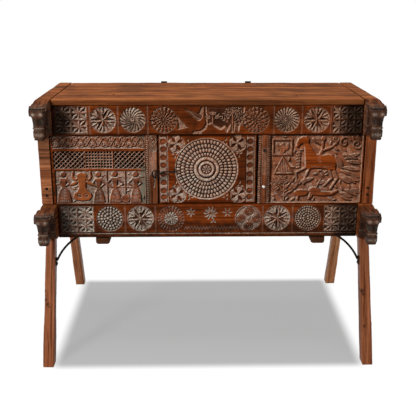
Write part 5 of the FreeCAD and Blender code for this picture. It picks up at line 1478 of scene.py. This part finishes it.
def headCarving(u, s, reach, z, normal, ribs):
    # u is millimetres out from the head's middle and s the share of its height
    # reach goes from 0 at the rail to 1 at the nose
    cheek = smooth(np.abs(normal[:, 0]), 0.5, 0.85)
    head = smooth(reach, 0.42, 0.55)
    face = head * smooth(-normal[:, 1], 0.3, 0.75)
    pair = np.abs(u)
    push = 4.2 * bump(pair, 13, 7.5) * bump(s, 0.66, 0.075) * face  # eyes
    push += 2.4 * bump(pair, 13, 7.5) * bump(s, 0.765, 0.02) * face  # brows
    push -= 4.6 * between(s, 0.785, 0.865, 0.012) * face  # forehead under the hair
    push -= 5.0 * bump(pair, 13, 6.5) * between(s, 0.37, 0.56, 0.04) * face  # hollows beside the nose
    push += 1.6 * bump(u, 0, 5) * between(s, 0.36, 0.7, 0.05) * face  # bridge of the nose
    push += 2.6 * between(s, 0.285, 0.325, 0.01) * head  # band over the muzzle
    push -= 1.8 * bump(s, 0.262, 0.014) * head
    push -= 3.6 * bump(pair, 9, 4) * bump(s, 0.15, 0.035) * face  # nostrils
    push -= 2.6 * bump(s, 0.035, 0.014) * head  # mouth
    push -= 1.8 * bump(u, 0, 1.8) * between(s, 0.02, 0.26, 0.02) * face  # split of the muzzle
    push -= 2.2 * between(s, 0.36, 0.6, 0.05) * bump(reach, 0.78, 0.1) * cheek
    hair = 0.5 - 0.5 * np.cos(math.tau * u / headLook["hair"])
    push -= 1.4 * hair * between(s, 0.79, 0.93, 0.02) * head
    comb = 0.5 - 0.5 * np.cos(math.tau * z / headLook["rib"])
    ribbed = comb * cheek * between(reach, 0.04, 0.55, 0.05) * between(s, 0.08, 0.95, 0.03) * smooth(u, 4, -4)
    return push - ribs * ribbed, head, face, ribbed * min(1, ribs)


def headBeam(node, rail, ribs):
    mesh = remeshed(eased(node, headLook["edge"]), headLook["voxel"])
    co, normal = points(mesh) / mm, normals(mesh)
    side = 1 if co[:, 0].mean() > 0 else -1
    front, base = boxOf(rail)[2], boxOf(rail)[4]
    nose, top = boxOf(node)[2], boxOf(node)[5]
    muzzle = co[co[:, 1] < front * 0.3 + nose * 0.7]
    middle = (muzzle[:, 0].min() + muzzle[:, 0].max()) / 2
    u = (co[:, 0] - middle) * side
    s = (co[:, 2] - base) / (top - base)
    reach = (front - co[:, 1]) / (front - nose)
    push, head, face, ribbed = headCarving(u, s, reach, co[:, 2], normal, ribs)
    grain = (ripple(co * mm, 31 + side, 0.14) - 1) * 0.5 + (ripple(co * mm, 33 + side, 0.025) - 1) * 0.25
    movePoints(mesh, (co + normal * (push + grain)[:, None]) * mm)
    cheek = smooth(np.abs(normal[:, 0]), 0.5, 0.85)
    behind = smooth(reach, 0.06, -0.02)
    # painted highlights on the eyes and across the muzzle; painted shade in the hollows beside the nose and
    # in the rib grooves; grime with painted shade on the neck by the rail
    eyeSheen = 0.6 * face * bump(np.abs(u), 13, 9) * bump(s, 0.67, 0.05)
    bandSheen = face * (0.5 * bump(s, 0.305, 0.02) + 0.35 * bump(s, 0.12, 0.06))
    hollowShade = 0.6 * face * between(s, 0.38, 0.57, 0.03)
    grime = 0.95 * smooth(reach, 0.0, 0.35) * (1 - 0.5 * smooth(s, 0.84, 0.95))
    grime *= 1 - 0.6 * cheek * (1 - head)
    outer = 0.7 * behind * smooth(u, 8, 26) * smooth(normal[:, 2], 0.5, 0.9)
    setValues(mesh, {
        "top": smooth(normal[:, 2], 0.6, 0.9) * behind,
        "dust": np.clip(0.3 * smooth(-push, 0.3, 2.0) + eyeSheen + bandSheen, 0, 1),
        "crevice": np.maximum.reduce([0.75 * smooth(-push, 1.2, 4.5), hollowShade, 0.8 * ribbed]),
        "worn": 0.12 * smooth(push, 0.8, 3.0),
        "grime": np.clip(grime + outer - 0.5 * eyeSheen - 0.4 * bandSheen - 0.5 * ribbed, 0, 1),
    })
    mesh.shade_smooth()
    placePiece(node + "_head", mesh, "beam", node, "chest")


for sideName in ("left", "right"):
    for level, ribs in headLook["rails"].items():
        headBeam(f"beam_{level}_{sideName}", "rail_front_" + level, ribs)


# Other woodwork

crackHeights = (694, 741, 770)
legMarks = {  # worm holes and knots: millimetres in from the leg's left side, height, size
    "front_left": ((5, 258, 4), (4, 240, 4), (9, 228, 4), (16, 213, 5), (22, 204, 3)),
    "front_right": ((6, 252, 6), (10, 240, 4), (12, 132, 4)),
}
# the rear legs take lighter woods that paint light on them
legFinish = {"front_left": "leg", "front_right": "leg", "rear_left": "legRear", "rear_right": "legRearRight"}


def postCracks(co):  # dark splits across the left post
    lines = [bump(co[:, 2], z, 2.2) for z in crackHeights]
    return np.clip(sum(lines) + 0.5 * smooth(co[:, 2], 690, 740), 0, 1)


def legSoil(corner):
    left = boxOf("leg_" + corner)[0]

    def holes(co):
        dark = np.zeros(len(co))
        for x, z, size in legMarks.get(corner, ()):
            dark += bump(np.hypot(co[:, 0] - left - x, co[:, 2] - z), 0, size)
        return np.clip(1.6 * dark, 0, 1)

    return holes


def lidEdgeShade(co):  # painted shade on the front edge
    front = boxOf("lid_board_front")[2]
    return 0.7 * smooth(co[:, 1], front + 7, front + 1)


# painted shade over the whole bearer, under the chest
def bearerShade(co):
    return np.full(len(co), 0.9)


def woodwork():
    for number, (corner, finish) in enumerate(legFinish.items()):
        hewn("leg_" + corner, finish, "chest", "leg", number, legSoil(corner))
        finish, soilAndShade = ("plank", postCracks) if corner == "front_left" else ("post", None)
        hewn("post_" + corner, finish, "chest", "post", number, soilAndShade)
    for number, board in enumerate(("front", "middle", "rear")):
        hewn("lid_board_" + board, "lid", "lid", "lidBoard", number, lidEdgeShade)
    for sideName in ("left", "right"):
        hewn("lid_batten_" + sideName, "side", "lid")
        hewn("side_boards_" + sideName, "side")
        hewn("bearer_" + sideName, "side", timber="bearer", soilAndShade=bearerShade)
    for node in ("rail_rear_upper", "rail_rear_lower", "back_boards", "floor_boards", "door_stop"):
        hewn(node, "plain")
    for ledge in ("door_ledge_lower", "door_ledge_upper"):
        hewn(ledge, "plain", "door")


woodwork()
print("woodwork done")


# Ironwork

def islands(node):  # the points of each separate solid in a node, in the mesh's own order
    mesh, shape = mergedCopy(node)
    seen = set()
    groups = []
    for start in shape.verts:
        if start in seen:
            continue
        seen.add(start)
        front = [start]
        group = []
        while front:
            vert = front.pop()
            group.append(vert.co[:])
            near = [edge.other_vert(vert) for edge in vert.link_edges]
            front += [other for other in near if other not in seen]
            seen.update(near)
        groups.append(np.array(group))
    shape.free()
    bpy.data.meshes.remove(mesh)
    return groups


chainBodies = {f"chain_link_{number}": f"link_{number}" for number in (1, 2, 3)}
chainBodies["hasp_ring"] = "ring"


def chainLinks():  # each link follows the length, width and wire of its solid
    start, end = (Vector(joints[name]["pos_m"]) for name in ("link_1_swing", "ring_swing"))
    along = (end - start).normalized()
    flat = Vector((0, -1, 0))
    upright = flat.cross(along)
    for node, body in chainBodies.items():
        co = points(frame["nodes"][node].data)
        thin, wide = sorted((flat, upright), key=lambda way: np.ptp(co @ np.array(way)))
        reach = [co @ np.array(way) for way in (along, wide, thin)]
        length, width, wire = (float(np.ptp(far)) for far in reach)
        mesh = grow(trees["wire"], {
            "Length": length, "Width": width, "Wire": wire, "Finish": finishes["iron"],
        })
        turn = Matrix((along, wide, thin)).transposed()
        middle = turn @ Vector([float(far.min() + far.max()) / 2 for far in reach])
        mesh.transform(Matrix.Translation(middle) @ turn.to_4x4())
        mesh.shade_smooth()
        placePiece(node + "_forged", mesh, "iron", node, body)


nailLook = {  # outward direction, head radius in millimetres and the body each set rides on
    "jamb_nails": ((0, -1, 0), 6.0, "chest"),
    "lid_nails": ((0, 0, 1), 4.0, "lid"),
    "door_nails": ((0, 1, 0), 4.5, "door"),
    "hinge_nails_back": ((0, 1, 0), 4.5, "chest"),
    "hinge_nails_lid": ((0, 1, 0), 4.5, "lid"),
}
nailSections = [  # place along the nail, half width and height
    (-0.5, 0.4, 0.4), (0.0, 0.92, 1.0), (0.12, 1.0, 0.95),
    (0.36, 0.8, 0.84), (0.5, 0.42, 0.38), (0.53, 0.1, 0.1),
]


def nailHeads():
    head = motifObject("nailMotif", nailSections, 10)
    for node, (way, radius, body) in nailLook.items():
        out = Vector(way)
        spots = []
        for group in islands(node):
            middle = Vector((group.min(0) + group.max(0)) / 2)
            top = max(group @ np.array(out)) - 0.5 * radius * mm
            spots.append(middle + out * (top - middle.dot(out)))
        base = bpy.data.meshes.new(node)
        base.from_pydata(spots, [], [])
        mesh = grow(trees["studs"], {
            "Motif": head, "Size": radius * mm, "Spread": 0.06, "Seed": 3, "Finish": finishes["iron"],
            "Tilt": out.to_track_quat("X", "Z").to_euler()[:],
        }, base)
        mesh.shade_smooth()
        if node == "jamb_nails":  # the lower one is worn bright
            heights = points(mesh)[:, 2]
            setValues(mesh, {"bright": heights < heights.mean()})
        placePiece(node + "_heads", mesh, "iron", node, body)
    bpy.data.objects.remove(head)


keptFinish = {  # rods, leaves, pins and pegs that keep the mesh of their solid
    "hinge_leaf": "iron", "hinge_pins": "iron", "stay": "iron", "door_pivot": "iron",
    "door_staple": "iron", "jamb_staple": "iron", "post_pegs": "peg",
}


def keptPieces():
    for name, node in frame["nodes"].items():
        for start, finish in keptFinish.items():
            if name.startswith(start):
                node.data.materials.clear()
                node.data.materials.append(finishes[finish])


chainLinks()
nailHeads()
keptPieces()
print("ironwork done")


# Camera, light and floor

camera = {
    "place": (-0.0475, -2.6644, 1.3136), "yaw": 0.0195, "pitch": 0.3025, "roll": 0.0019,
    "focusPixels": 700.0, "frameWide": 416.0, "sensor": 36.0,
}


def setCamera():
    lens = bpy.data.cameras.new("chestCamera")
    lens.sensor_width = camera["sensor"]
    lens.lens = camera["focusPixels"] / camera["frameWide"] * camera["sensor"]
    holder = linked("chestCamera", lens)
    yaw, pitch, roll = camera["yaw"], camera["pitch"], camera["roll"]
    look = Vector((math.sin(yaw) * math.cos(pitch), math.cos(yaw) * math.cos(pitch), -math.sin(pitch)))
    across = Vector((math.cos(yaw), -math.sin(yaw), 0))
    upward = across.cross(look)
    right = across * math.cos(roll) + upward * math.sin(roll)
    top = upward * math.cos(roll) - across * math.sin(roll)
    turn = Matrix((right, top, -look)).transposed().to_4x4()
    holder.matrix_world = Matrix.Translation(camera["place"]) @ turn
    scene.camera = holder


lamps = {
    "keyPanel": {"kind": "AREA", "place": (-2.3, -2.5, 2.3), "aim": (0, -0.2, 0.7), "size": 0.7, "power": 98},
    "fillPanel": {"kind": "AREA", "place": (2.2, -2.2, 1.4), "aim": (0, -0.2, 0.7), "size": 1.6, "power": 12},
    "overhead": {"kind": "SUN", "place": (0, 0, 4), "aim": (0, 0, 0), "degrees": 24, "power": 1.65},
}
skyLevel = 0.2


def setLight():
    for name, look in lamps.items():
        lamp = bpy.data.lights.new(name, look["kind"])
        lamp.energy = look["power"]
        if look["kind"] == "SUN":
            lamp.angle = math.radians(look["degrees"])
        else:
            lamp.size = look["size"]
        holder = linked(name, lamp)
        holder.location = look["place"]
        way = Vector(look["aim"]) - Vector(look["place"])
        holder.rotation_euler = way.to_track_quat("-Z", "Y").to_euler()
    world = bpy.data.worlds.new("studio")
    scene.world = world
    world.use_nodes = True
    world.node_tree.nodes.clear()
    sky = Nodes(world.node_tree)
    strength = skyLevel + seenBy(sky, "Camera", "Transmission") * (1 - skyLevel)
    glow = sky.node("ShaderNodeBackground", None, {"Color": (1, 1, 1, 1), "Strength": strength})
    sky.node("ShaderNodeOutputWorld", None, {"Surface": glow})


def setFloor():
    mesh = bpy.data.meshes.new("floor")
    far = floorLook["reach"]
    mesh.from_pydata([(-far, -far, 0), (far, -far, 0), (far, far, 0), (-far, far, 0)], [], [(0, 1, 2, 3)])
    floor = linked("floor", mesh)
    mesh.materials.append(paleFloor())


setCamera()
setLight()
setFloor()
scene.view_settings.view_transform = "Standard"
print("camera, light and floor set")
